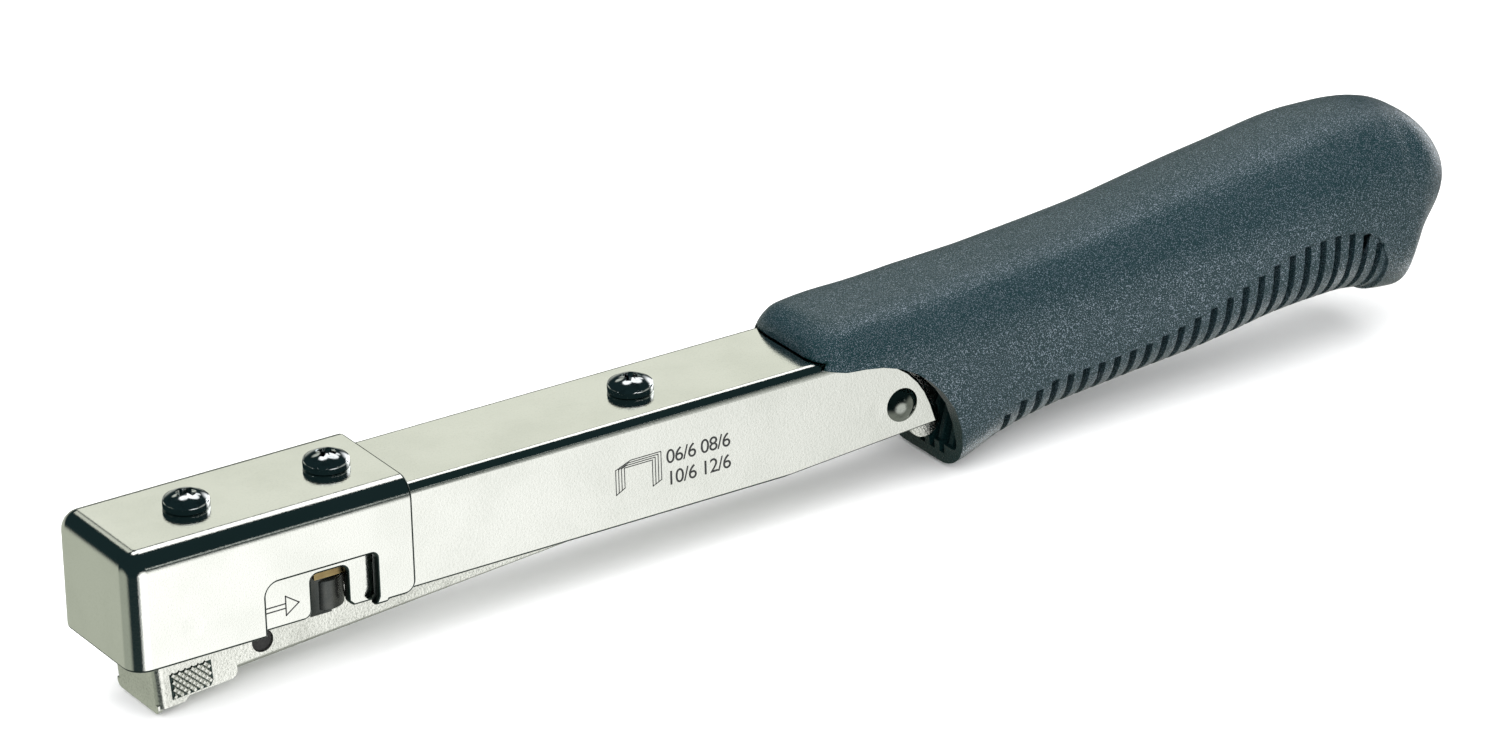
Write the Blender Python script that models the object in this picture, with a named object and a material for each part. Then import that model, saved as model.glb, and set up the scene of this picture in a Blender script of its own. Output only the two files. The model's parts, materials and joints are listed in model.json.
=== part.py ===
"""Hammer tacker (staple gun swung like a hammer): steel head and frame, hinged magazine, moulded grip.

Everything is laid out on the tool's own axis: x runs from the striking face to the butt of the grip,
y is across the tool, z is up from the lower edge of the frame. The whole tool then leans by REST_TILT,
so that the nose tip and the sole under the grip's front lip stand on one plane.
"""
import math

import bmesh
import bpy
from mathutils import Matrix, Vector

MM = 0.001
GAP = 0.3 * MM                      # running or touching gap between neighbours

# Stance
REST_TILT = math.radians(1.1)       # the grip end lies lower than the head
DROOP = math.radians(4.7)           # the magazine hangs open by this much at rest

# Frame: one inverted channel of sheet steel with a flat tang for the grip
FRAME_WIDTH = 21.4 * MM
FRAME_HEIGHT = 18.9 * MM
FRAME_SHEET = 1.5 * MM
FRAME_BEND = 1.8 * MM
FRAME_FRONT = 3.8 * MM
TANG_END = 236.0 * MM
TANG_WIDTH = 15.0 * MM
CHEEK_END = 159.3 * MM
NOTCH_FRONT = 34.9 * MM
NOTCH_REAR = 41.7 * MM
NOTCH_TOP = 7.7 * MM

# Cap: drawn steel cover over the head
CAP_LENGTH = 53.6 * MM
CAP_SHEET = 1.8 * MM
CAP_BEND = 3.6 * MM
CAP_HALF = FRAME_WIDTH / 2 + GAP + CAP_SHEET
CAP_TOP = FRAME_HEIGHT + GAP + CAP_SHEET
WINDOW_FRONT = 25.3 * MM
WINDOW_REAR = 46.2 * MM
WINDOW_TOP = 9.5 * MM

# Screws: M4 pan heads on the top centre line
SCREW_RADIUS = 2.0 * MM
SCREW_HEAD_RADIUS = 4.0 * MM
SCREW_HEAD_HEIGHT = 3.1 * MM
FRONT_SCREW_X = 18.2 * MM
REAR_SCREW_X = 44.7 * MM
BUFFER_SCREW_X = 104.0 * MM

# Hinge of the magazine: a domed rivet through the frame's rear cheeks
HINGE_X = 152.0 * MM
HINGE_Z = 7.2 * MM
RIVET_RADIUS = 2.2 * MM
RIVET_HEAD_RADIUS = 3.15 * MM
RIVET_HEAD_HEIGHT = 2.0 * MM
BUSH_RADIUS = 3.8 * MM

# Magazine, measured from the hinge: forward along the magazine and up from it
MAGAZINE_HALF = 6.4 * MM
MAGAZINE_SHEET = 0.8 * MM
MAGAZINE_FRONT = 142.9 * MM
MAGAZINE_BOTTOM = -4.2 * MM
MAGAZINE_TOP = 1.6 * MM
EAR_RADIUS = 8.3 * MM
TAIL_RADIUS = 3.2 * MM
NOSE_FRONT = 145.9 * MM
NOSE_REAR = 130.8 * MM
NOSE_SHEET = 0.8 * MM
NOSE_HALF = MAGAZINE_HALF + GAP + NOSE_SHEET
NOSE_TOP = 2.6 * MM
NOSE_PLATE_TOP = 8.0 * MM
NOSE_SIDE_BOTTOM = -4.8 * MM
NOSE_TIP_BOTTOM = -5.6 * MM
NOSE_TONGUE_BOTTOM = -6.7 * MM
PEEP_HOLE_FORWARD = 125.0 * MM
PEEP_HOLE_UP = -0.7 * MM
PEEP_HOLE_RADIUS = 2.0 * MM

# Staples: 10.6 mm crown, 6 mm legs, on an inverted channel that guides them
STAPLE_HALF = 5.3 * MM
STAPLE_WIRE = 0.65 * MM
STAPLE_HEIGHT = 6.0 * MM
RAIL_HALF = 4.3 * MM
RAIL_SHEET = 0.8 * MM
RAIL_TOP = 2.4 * MM
RAIL_FRONT = 143.2 * MM
RAIL_REAR = 22.0 * MM
STRIP_FRONT = 142.8 * MM
STRIP_REAR = 98.4 * MM
PUSHER_FRONT = STRIP_REAR - GAP
PUSHER_REAR = 84.0 * MM
ROD_RADIUS = 1.2 * MM
ROD_UP = -0.6 * MM
ROD_FRONT = 100.0 * MM
ROD_HOLDER_FRONT = 26.0 * MM
ROD_HOLDER_REAR = 24.0 * MM

# Head internals
BLADE_FRONT = 7.5 * MM
BLADE_THICKNESS = 0.8 * MM
BLADE_HALF = 5.2 * MM
BLADE_BOTTOM = 0.3 * MM
BLOCK_FRONT = CAP_SHEET + GAP
BLOCK_HALF = FRAME_WIDTH / 2 - FRAME_SHEET - GAP
BLOCK_TOP = FRAME_HEIGHT - FRAME_SHEET - GAP
CATCH_SHEET = 1.2 * MM
CATCH_LEG_INNER = 7.2 * MM

# Grip: loft stations (x, top, underside, half width, squareness of the section)
GRIP_STATIONS = [
    (134.4, 20.6, -6.0, 12.2, 4.0),
    (134.8, 21.9, -7.2, 12.8, 4.0),
    (136.2, 23.1, -8.4, 13.3, 4.0),
    (139.0, 23.8, -9.1, 13.6, 4.0),
    (146.0, 24.2, -9.2, 13.9, 3.9),
    (153.0, 24.4, -9.2, 14.0, 3.7),
    (160.0, 24.8, -9.1, 14.0, 3.6),
    (163.0, 25.1, -9.4, 14.0, 3.5),
    (166.0, 25.3, -9.2, 13.9, 3.4),
    (170.0, 25.5, -7.0, 13.9, 3.3),
    (176.0, 25.8, -4.7, 13.8, 3.2),
    (184.0, 26.5, -3.3, 13.8, 3.1),
    (193.0, 27.3, -2.5, 14.0, 3.0),
    (202.0, 28.4, -1.9, 14.3, 2.8),
    (212.0, 29.9, -1.1, 14.9, 2.7),
    (222.0, 31.4, 0.0, 15.6, 2.6),
    (232.0, 32.8, 1.1, 16.0, 2.5),
    (240.0, 33.9, 1.5, 16.3, 2.5),
    (247.0, 34.8, 1.2, 15.9, 2.4),
    (253.0, 34.8, 0.2, 15.4, 2.4),
    (257.0, 34.4, -0.5, 15.0, 2.4),
    (259.0, 34.0, -0.7, 14.6, 2.4),
    (260.5, 33.5, 2.6, 14.2, 2.4),
    (262.0, 32.9, 6.8, 13.7, 2.4),
    (264.0, 31.7, 10.0, 12.9, 2.4),
    (266.0, 29.8, 12.4, 11.6, 2.3),
    (268.0, 26.6, 15.4, 9.2, 2.2),
    (269.2, 23.3, 18.2, 5.6, 2.1),
    (269.7, 21.4, 19.8, 1.6, 2.0),
]
GRIP_POINTS = 36
GRIP_SOLE = -8.88 * MM              # height of the sole's plane at x = SOLE_FRONT
SOLE_FRONT = 140.0 * MM
CHAMBER_REAR = 172.0 * MM
CHAMBER_HALF = FRAME_WIDTH / 2 + GAP
CHAMBER_FLOOR = -4.8 * MM

COLOURS = {
    "nickel": ((0.70, 0.71, 0.66), 0.28, 1.0),
    "polished": ((0.55, 0.57, 0.58), 0.15, 1.0),
    "blade_steel": ((0.30, 0.30, 0.31), 0.35, 1.0),
    "black_steel": ((0.05, 0.055, 0.055), 0.40, 0.9),
    "zinc_yellow": ((0.45, 0.36, 0.18), 0.40, 0.9),
    "spring_steel": ((0.38, 0.38, 0.37), 0.30, 1.0),
    "staple_wire": ((0.62, 0.62, 0.60), 0.35, 1.0),
    "buffer_black": ((0.03, 0.03, 0.03), 0.80, 0.0),
    "grip_blue": ((0.035, 0.055, 0.065), 0.50, 0.0),
}


def clear_scene():
    for item in list(bpy.data.objects):
        bpy.data.objects.remove(item, do_unlink=True)


def material(name):
    found = bpy.data.materials.get(name)
    if found:
        return found
    made = bpy.data.materials.new(name)
    made.use_nodes = True
    shader = made.node_tree.nodes["Principled BSDF"]
    colour, roughness, metallic = COLOURS[name]
    shader.inputs["Base Color"].default_value = (*colour, 1.0)
    shader.inputs["Roughness"].default_value = roughness
    shader.inputs["Metallic"].default_value = metallic
    return made


def pivot(name, parent=None, location=(0, 0, 0), lean=0.0):
    empty = bpy.data.objects.new(name, None)
    empty.parent = parent
    empty.location = location
    empty.rotation_euler = (0, -lean, 0)
    bpy.context.collection.objects.link(empty)
    return empty


def finish(name, bm, finish_name, parent, location=(0, 0, 0), smooth=True):
    """Turns a bmesh drawn in the parent's space into an object whose origin is at location."""
    bmesh.ops.remove_doubles(bm, verts=bm.verts, dist=1e-7)
    bmesh.ops.recalc_face_normals(bm, faces=bm.faces)
    bmesh.ops.translate(bm, verts=bm.verts, vec=-Vector(location))
    mesh = bpy.data.meshes.new(name)
    bm.to_mesh(mesh)
    bm.free()
    if smooth:
        mesh.shade_smooth()
        mesh.set_sharp_from_angle(angle=math.radians(35))
    if finish_name:
        mesh.materials.append(material(finish_name))
    made = bpy.data.objects.new(name, mesh)
    made.parent = parent
    made.location = location
    bpy.context.collection.objects.link(made)
    return made


def cutter(name, bm, parent, location=(0, 0, 0)):
    made = finish(name, bm, None, parent, location, smooth=False)
    made.hide_render = True
    made.display_type = "WIRE"
    return made


def combine(target, other, operation="DIFFERENCE"):
    step = target.modifiers.new(other.name, "BOOLEAN")
    step.operation = operation
    step.solver = "EXACT"
    step.object = other


def box(bm, x0, x1, y0, y1, z0, z1):
    made = bmesh.ops.create_cube(bm, size=1.0)["verts"]
    size = Matrix.Diagonal((x1 - x0, y1 - y0, z1 - z0, 1))
    centre = Matrix.Translation(((x0 + x1) / 2, (y0 + y1) / 2, (z0 + z1) / 2))
    bmesh.ops.transform(bm, matrix=centre @ size, verts=made)
    return made


def rod(bm, start, end, radius, sides=24):
    start, end = Vector(start), Vector(end)
    along = end - start
    made = bmesh.ops.create_cone(
        bm, cap_ends=True, segments=sides, radius1=radius, radius2=radius, depth=along.length
    )["verts"]
    turn = along.to_track_quat("Z", "Y").to_matrix().to_4x4()
    bmesh.ops.transform(bm, matrix=Matrix.Translation((start + end) / 2) @ turn, verts=made)
    return made


def slab(bm, outline, low, high, plane="xz"):
    """Extrudes a closed outline: one drawn in x and z along y, or one drawn in y and z along x."""
    def place(a, b, depth):
        return (a, depth, b) if plane == "xz" else (depth, a, b)
    near = [bm.verts.new(place(a, b, low)) for a, b in outline]
    face = bm.faces.new(near)
    grown = bmesh.ops.extrude_face_region(bm, geom=[face])["geom"]
    moved = [item for item in grown if isinstance(item, bmesh.types.BMVert)]
    step = (0, high - low, 0) if plane == "xz" else (high - low, 0, 0)
    bmesh.ops.translate(bm, verts=moved, vec=step)


def arc(centre_a, centre_b, radius, start_deg, end_deg, steps):
    """Points on an arc, in degrees from the outline's first axis."""
    points = []
    for step in range(steps + 1):
        angle = math.radians(start_deg + (end_deg - start_deg) * step / steps)
        points.append((centre_a + radius * math.cos(angle), centre_b + radius * math.sin(angle)))
    return points


def channel_outline(half, low, high, sheet, bend):
    """Section of an inverted channel in y and z: rounded outside bends, nearly sharp inside ones."""
    inner = max(bend - sheet, 0.3 * MM)
    outside = arc(half - bend, high - bend, bend, 0, 90, 4)
    inside = arc(half - sheet - inner, high - sheet - inner, inner, 0, 90, 3)
    right = [(half, low)] + outside
    left = [(-y, z) for y, z in reversed(right)]
    under_left = [(-half + sheet, low)] + [(-y, z) for y, z in inside]
    under_right = [(y, z) for y, z in reversed(inside)] + [(half - sheet, low)]
    return right + left + under_left + under_right


def tube_along(bm, points, radius, sides):
    """A closed round wire through the points."""
    rings = []
    for index, point in enumerate(points):
        before = points[max(index - 1, 0)]
        after = points[min(index + 1, len(points) - 1)]
        along = (Vector(after) - Vector(before)).normalized()
        turn = along.to_track_quat("Z", "Y").to_matrix()
        ring = []
        for side in range(sides):
            angle = 2 * math.pi * side / sides
            offset = turn @ Vector((radius * math.cos(angle), radius * math.sin(angle), 0))
            ring.append(bm.verts.new(Vector(point) + offset))
        rings.append(ring)
    match_rings(rings)
    for first, second in zip(rings, rings[1:]):
        for side in range(sides):
            after = (side + 1) % sides
            bm.faces.new((first[side], first[after], second[after], second[side]))
    bm.faces.new(rings[0][::-1])
    bm.faces.new(rings[-1])


def match_rings(rings):
    """Turns each ring to the shift that lies closest to the ring before it, so the wire isn't twisted."""
    for first, second in zip(rings, rings[1:]):
        count = len(first)
        best = min(
            range(count),
            key=lambda shift: sum((first[k].co - second[(k + shift) % count].co).length for k in range(count)),
        )
        second[:] = second[best:] + second[:best]


def build_frame(tool):
    bm = bmesh.new()
    outline = channel_outline(FRAME_WIDTH / 2, 0, FRAME_HEIGHT, FRAME_SHEET, FRAME_BEND)
    slab(bm, outline, FRAME_FRONT, TANG_END, plane="yz")
    frame = finish("frame_channel", bm, "nickel", tool)

    # Behind the grip's lip the channel is trimmed to two rounded cheeks and a flat tang.
    cheek = [(137.0, 25.0), (137.0, 17.2), (141.0, 17.0), (146.5, 16.1), (151.3, 14.0), (155.2, 10.5)]
    cheek += [(157.7, 6.5), (159.3, 2.2), (127.0, 0.0), (127.0, -5.0), (240.0, -5.0), (240.0, 25.0)]
    outline = [(x * MM, z * MM) for x, z in cheek]
    for side in (-1, 1):
        bm = bmesh.new()
        slab(bm, outline, side * TANG_WIDTH / 2, side * FRAME_WIDTH)
        combine(frame, cutter(f"cheek_cutter_{side}", bm, tool))

    bm = bmesh.new()
    corner = 1.4 * MM
    top = arc(NOTCH_REAR - corner, NOTCH_TOP - corner, corner, 0, 90, 3)
    top += arc(NOTCH_FRONT + corner, NOTCH_TOP - corner, corner, 90, 180, 3)
    outline = [(NOTCH_FRONT, -1 * MM), (NOTCH_REAR, -1 * MM)] + top
    slab(bm, outline, -FRAME_WIDTH, FRAME_WIDTH)
    combine(frame, cutter("notch_cutter", bm, tool))

    for name, x in (("front", FRONT_SCREW_X), ("rear", REAR_SCREW_X), ("buffer", BUFFER_SCREW_X)):
        bm = bmesh.new()
        rod(bm, (x, 0, FRAME_HEIGHT - 4 * MM), (x, 0, FRAME_HEIGHT + 4 * MM), SCREW_RADIUS + GAP)
        combine(frame, cutter(f"frame_hole_{name}", bm, tool))
    bm = bmesh.new()
    rod(bm, (HINGE_X, -FRAME_WIDTH, HINGE_Z), (HINGE_X, FRAME_WIDTH, HINGE_Z), RIVET_RADIUS + GAP)
    combine(frame, cutter("rivet_hole_cutter", bm, tool))
    return frame


def cap_form(bm, inset, rear, low):
    """A block with its front and top edges rounded together, as a drawn cup is."""
    box(bm, inset, rear, -CAP_HALF + inset, CAP_HALF - inset, low, CAP_TOP - inset)
    def is_rounded(edge):
        a, b = edge.verts[0].co, edge.verts[1].co
        at_front = max(a.x, b.x) < inset + 1e-6
        at_top = min(a.z, b.z) > CAP_TOP - inset - 1e-6
        across = abs(a.x - b.x) < 1e-6 and abs(a.y - b.y) > 1e-6
        at_bottom = max(a.z, b.z) < low + 1e-6
        return (at_front and not at_bottom) or (at_top and not across)
    edges = [edge for edge in bm.edges if is_rounded(edge)]
    bend = max(CAP_BEND - inset, 0.5 * MM)
    bmesh.ops.bevel(bm, geom=edges, offset=bend, segments=4, profile=0.5, affect="EDGES")


def build_cap(tool):
    bm = bmesh.new()
    cap_form(bm, 0, CAP_LENGTH, 0)
    cap = finish("head_cap", bm, "nickel", tool)
    bm = bmesh.new()
    cap_form(bm, CAP_SHEET, CAP_LENGTH + 5 * MM, -5 * MM)
    combine(cap, cutter("cap_hollow_cutter", bm, tool))

    bm = bmesh.new()
    corner = 2.4 * MM
    top = arc(WINDOW_REAR - 0.8 * MM, WINDOW_TOP - 0.8 * MM, 0.8 * MM, 0, 90, 3)
    top += arc(WINDOW_FRONT + corner, WINDOW_TOP - corner, corner, 90, 180, 4)
    outline = [(WINDOW_FRONT, -1 * MM), (WINDOW_REAR, -1 * MM)] + top
    slab(bm, outline, -CAP_HALF - 2 * MM, CAP_HALF + 2 * MM)
    combine(cap, cutter("window_cutter", bm, tool))

    # The rear corner of each side is round below; a small relief parts the side from the top bend.
    bm = bmesh.new()
    corner = 2.2 * MM
    outline = arc(CAP_LENGTH - corner, corner, corner, -90, 0, 4)
    outline += [(CAP_LENGTH + 1 * MM, corner), (CAP_LENGTH + 1 * MM, -1 * MM), (CAP_LENGTH - corner, -1 * MM)]
    slab(bm, outline, -CAP_HALF - 2 * MM, CAP_HALF + 2 * MM)
    combine(cap, cutter("cap_corner_cutter", bm, tool))
    for side in (-1, 1):
        bm = bmesh.new()
        inner, outer = side * (CAP_HALF - CAP_BEND), side * (CAP_HALF + 2 * MM)
        box(bm, CAP_LENGTH - 2.2 * MM, CAP_LENGTH + 1 * MM, inner, outer, CAP_TOP - 4.4 * MM, CAP_TOP - 1.9 * MM)
        combine(cap, cutter(f"relief_cutter_{side}", bm, tool))
    for name, x in (("front", FRONT_SCREW_X), ("rear", REAR_SCREW_X)):
        bm = bmesh.new()
        rod(bm, (x, 0, CAP_TOP - 4 * MM), (x, 0, CAP_TOP + 4 * MM), SCREW_RADIUS + GAP)
        combine(cap, cutter(f"cap_hole_{name}", bm, tool))
    return cap


def turned(bm, profile, sides=28):
    """Spins a profile of (radius, height) about z; the ends of the profile lie on the axis."""
    rings = []
    for radius, height in profile:
        if radius < 1e-9:
            rings.append([bm.verts.new((0, 0, height))])
            continue
        ring = []
        for side in range(sides):
            angle = 2 * math.pi * side / sides
            ring.append(bm.verts.new((radius * math.cos(angle), radius * math.sin(angle), height)))
        rings.append(ring)
    for first, second in zip(rings, rings[1:]):
        for side in range(sides):
            after = (side + 1) % sides
            corners = [first[side % len(first)], first[after % len(first)]]
            corners += [second[after % len(second)], second[side % len(second)]]
            unique = list(dict.fromkeys(corners))
            bm.faces.new(unique)


def pan_head_profile(shank_length):
    """Screw profile from the tip of the shank up over the low dome, from the seat at zero."""
    dome = SCREW_HEAD_HEIGHT - 1.5 * MM
    points = [(0, -shank_length), (SCREW_RADIUS, -shank_length), (SCREW_RADIUS, 0), (SCREW_HEAD_RADIUS, 0)]
    points.append((SCREW_HEAD_RADIUS, 1.5 * MM))
    for step in range(1, 5):
        angle = math.radians(90 * step / 5)
        points.append((SCREW_HEAD_RADIUS * math.cos(angle) ** 0.6, 1.5 * MM + dome * math.sin(angle)))
    return points + [(0, SCREW_HEAD_HEIGHT)]


def build_pan_screw(tool, name, x, seat, tip):
    bm = bmesh.new()
    turned(bm, pan_head_profile(seat + GAP - tip))
    bmesh.ops.translate(bm, verts=bm.verts, vec=(x, 0, seat + GAP))
    screw = finish(name, bm, "polished", tool, (x, 0, seat + GAP))
    cross = bmesh.new()
    top = seat + GAP + SCREW_HEAD_HEIGHT
    box(cross, x - 2.1 * MM, x + 2.1 * MM, -0.45 * MM, 0.45 * MM, top - 1.6 * MM, top + 1 * MM)
    combine(screw, cutter(f"{name}_cross_a", cross, tool))
    cross = bmesh.new()
    box(cross, x - 0.45 * MM, x + 0.45 * MM, -2.1 * MM, 2.1 * MM, top - 1.6 * MM, top + 1 * MM)
    combine(screw, cutter(f"{name}_cross_b", cross, tool))
    return screw


def build_rivet(tool):
    seat = FRAME_WIDTH / 2 + GAP
    profile = [(0, -seat - RIVET_HEAD_HEIGHT)]
    dome = []
    for step in range(1, 7):
        angle = math.radians(90 * step / 6)
        dome.append((RIVET_HEAD_RADIUS * math.sin(angle), seat + RIVET_HEAD_HEIGHT * math.cos(angle)))
    profile += [(radius, -height) for radius, height in dome]
    profile += [(RIVET_RADIUS, -seat), (RIVET_RADIUS, seat)]
    profile += list(reversed(dome))
    profile.append((0, seat + RIVET_HEAD_HEIGHT))
    bm = bmesh.new()
    turned(bm, profile, sides=28)
    bmesh.ops.rotate(bm, verts=bm.verts, matrix=Matrix.Rotation(math.radians(90), 3, "X"))
    bmesh.ops.translate(bm, verts=bm.verts, vec=(HINGE_X, 0, HINGE_Z))
    return finish("pivot_rivet", bm, "polished", tool, (HINGE_X, 0, HINGE_Z))


def ring_piece(name, finish_name, parent, centre_x, centre_z, radii, span, location=None):
    """A plain tube across the tool: radii are (hole, outside) and span is (low y, high y)."""
    hole, outside = radii
    low, high = span
    bm = bmesh.new()
    count = 28
    loops = []
    for radius, y in ((hole, low), (outside, low), (outside, high), (hole, high)):
        ring = []
        for side in range(count):
            angle = 2 * math.pi * side / count
            point = (centre_x + radius * math.cos(angle), y, centre_z + radius * math.sin(angle))
            ring.append(bm.verts.new(point))
        loops.append(ring)
    for first, second in zip(loops, loops[1:] + loops[:1]):
        for side in range(count):
            after = (side + 1) % count
            bm.faces.new((first[side], first[after], second[after], second[side]))
    return finish(name, bm, finish_name, parent, location or (centre_x, 0, centre_z))


def build_head_internals(tool):
    # The striking block stands behind the cap's front wall and backs the driver blade.
    bm = bmesh.new()
    outline = [(BLOCK_FRONT, 1.0 * MM), (5.5 * MM, 1.0 * MM), (5.5 * MM, 15.7 * MM)]
    outline += [(BLADE_FRONT - GAP, 15.7 * MM), (BLADE_FRONT - GAP, BLOCK_TOP), (BLOCK_FRONT, BLOCK_TOP)]
    slab(bm, outline, -BLOCK_HALF, BLOCK_HALF)
    finish("striking_block", bm, "blade_steel", tool, smooth=False)

    bm = bmesh.new()
    box(bm, BLADE_FRONT, BLADE_FRONT + BLADE_THICKNESS, -BLADE_HALF, BLADE_HALF, BLADE_BOTTOM, BLOCK_TOP)
    finish("driver_blade", bm, "blade_steel", tool, smooth=False)

    bm = bmesh.new()
    clamp_front = BLADE_FRONT + BLADE_THICKNESS + GAP
    box(bm, clamp_front, 28 * MM, -BLOCK_HALF, BLOCK_HALF, 12.4 * MM, BLOCK_TOP)
    clamp = finish("blade_clamp", bm, "blade_steel", tool, smooth=False)
    bm = bmesh.new()
    rod(bm, (FRONT_SCREW_X, 0, 8 * MM), (FRONT_SCREW_X, 0, FRAME_HEIGHT), SCREW_RADIUS + GAP)
    combine(clamp, cutter("clamp_thread_cutter", bm, tool))

    # An angle under the rear cap screw carries the far end of the catch spring.
    bm = bmesh.new()
    low = BLOCK_TOP - 1.2 * MM
    outline = [(39.5 * MM, low), (50.3 * MM, low), (50.3 * MM, 11.0 * MM), (51.5 * MM, 11.0 * MM)]
    outline += [(51.5 * MM, BLOCK_TOP), (39.5 * MM, BLOCK_TOP)]
    slab(bm, outline, -5 * MM, 5 * MM)
    bracket = finish("catch_bracket", bm, "zinc_yellow", tool, smooth=False)
    bm = bmesh.new()
    rod(bm, (REAR_SCREW_X, 0, 12 * MM), (REAR_SCREW_X, 0, FRAME_HEIGHT), SCREW_RADIUS + GAP)
    combine(bracket, cutter("bracket_hole_cutter", bm, tool))

    nut_top = BLOCK_TOP - 1.2 * MM - GAP
    build_nut(tool, "bracket_nut", REAR_SCREW_X, nut_top - 1.7 * MM, nut_top)

    # The rubber buffer stops the magazine at the end of a stroke.
    bm = bmesh.new()
    box(bm, 96 * MM, 112 * MM, -5 * MM, 5 * MM, 10.9 * MM, BLOCK_TOP)
    buffer = finish("strike_buffer", bm, "buffer_black", tool, smooth=False)
    bm = bmesh.new()
    rod(bm, (BUFFER_SCREW_X, 0, 8 * MM), (BUFFER_SCREW_X, 0, FRAME_HEIGHT), SCREW_RADIUS + GAP)
    combine(buffer, cutter("buffer_hole_cutter", bm, tool))


def build_nut(tool, name, x, low, high):
    bm = bmesh.new()
    rod(bm, (x, 0, low), (x, 0, high), 3.8 * MM, sides=6)
    nut = finish(name, bm, "spring_steel", tool, (x, 0, low), smooth=False)
    bm = bmesh.new()
    rod(bm, (x, 0, low - 3 * MM), (x, 0, high + 3 * MM), SCREW_RADIUS + GAP)
    combine(nut, cutter(f"{name}_thread_cutter", bm, tool))
    return nut


def build_catch(tool):
    """Inverted U that slides between the frame's sides; its curled thumb tabs stand in the notches."""
    leg_outer = CATCH_LEG_INNER + CATCH_SHEET
    plate_low, plate_high = 10.9 * MM, 12.1 * MM
    front, rear = 35.6 * MM, 39.6 * MM
    bm = bmesh.new()
    box(bm, front, rear, -leg_outer, leg_outer, plate_low, plate_high)
    catch = finish("catch", bm, "black_steel", tool, (front, 0, plate_low), smooth=False)
    pieces = []
    bm = bmesh.new()
    box(bm, rear - 1.2 * MM, rear, -2.6 * MM, 2.6 * MM, plate_low + 0.2 * MM, 13.6 * MM)
    pieces.append(cutter("catch_spring_wall", bm, tool))
    for side in (-1, 1):
        bm = bmesh.new()
        box(bm, front, rear, side * CATCH_LEG_INNER, side * leg_outer, -1.0 * MM, plate_low + 0.6 * MM)
        pieces.append(cutter(f"catch_leg_{side}", bm, tool))
        bm = bmesh.new()
        middle = (front + rear) / 2
        half = (rear - front) / 2 - 0.1 * MM
        bulge = [(middle - half, side * (leg_outer - 0.4 * MM))]
        for step in range(9):
            angle = math.radians(180 * step / 8)
            x = middle - half * math.cos(angle)
            bulge.append((x, side * (leg_outer + 0.3 * MM + 1.7 * MM * math.sin(angle))))
        bulge.append((middle + half, side * (leg_outer - 0.4 * MM)))
        low = [bm.verts.new((x, y, 0.2 * MM)) for x, y in bulge]
        high = [bm.verts.new((x, y, 5.4 * MM)) for x, y in bulge]
        bm.faces.new(low)
        bm.faces.new(high[::-1])
        for index in range(len(bulge)):
            after = (index + 1) % len(bulge)
            bm.faces.new((low[index], low[after], high[after], high[index]))
        pieces.append(cutter(f"catch_tab_{side}", bm, tool))
    for piece in pieces:
        combine(catch, piece, "UNION")

    turns, steps = 7, 10
    start, end = rear + GAP + 0.3 * MM, 50.3 * MM - GAP - 0.3 * MM
    height = 12.3 * MM
    points = helix((start, 0, height), (end, 0, height), 0.95 * MM, turns, steps)
    bm = bmesh.new()
    tube_along(bm, points, 0.22 * MM, 6)
    finish("catch_spring", bm, "spring_steel", tool, (start, 0, height))


def helix(start, end, radius, turns, steps):
    """Points of a coil whose axis runs from start to end."""
    start, end = Vector(start), Vector(end)
    turn = (end - start).to_track_quat("Z", "Y").to_matrix()
    points = []
    for step in range(turns * steps + 1):
        angle = 2 * math.pi * step / steps
        along = start.lerp(end, step / (turns * steps))
        points.append(along + turn @ Vector((radius * math.cos(angle), radius * math.sin(angle), 0)))
    return points


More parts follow.
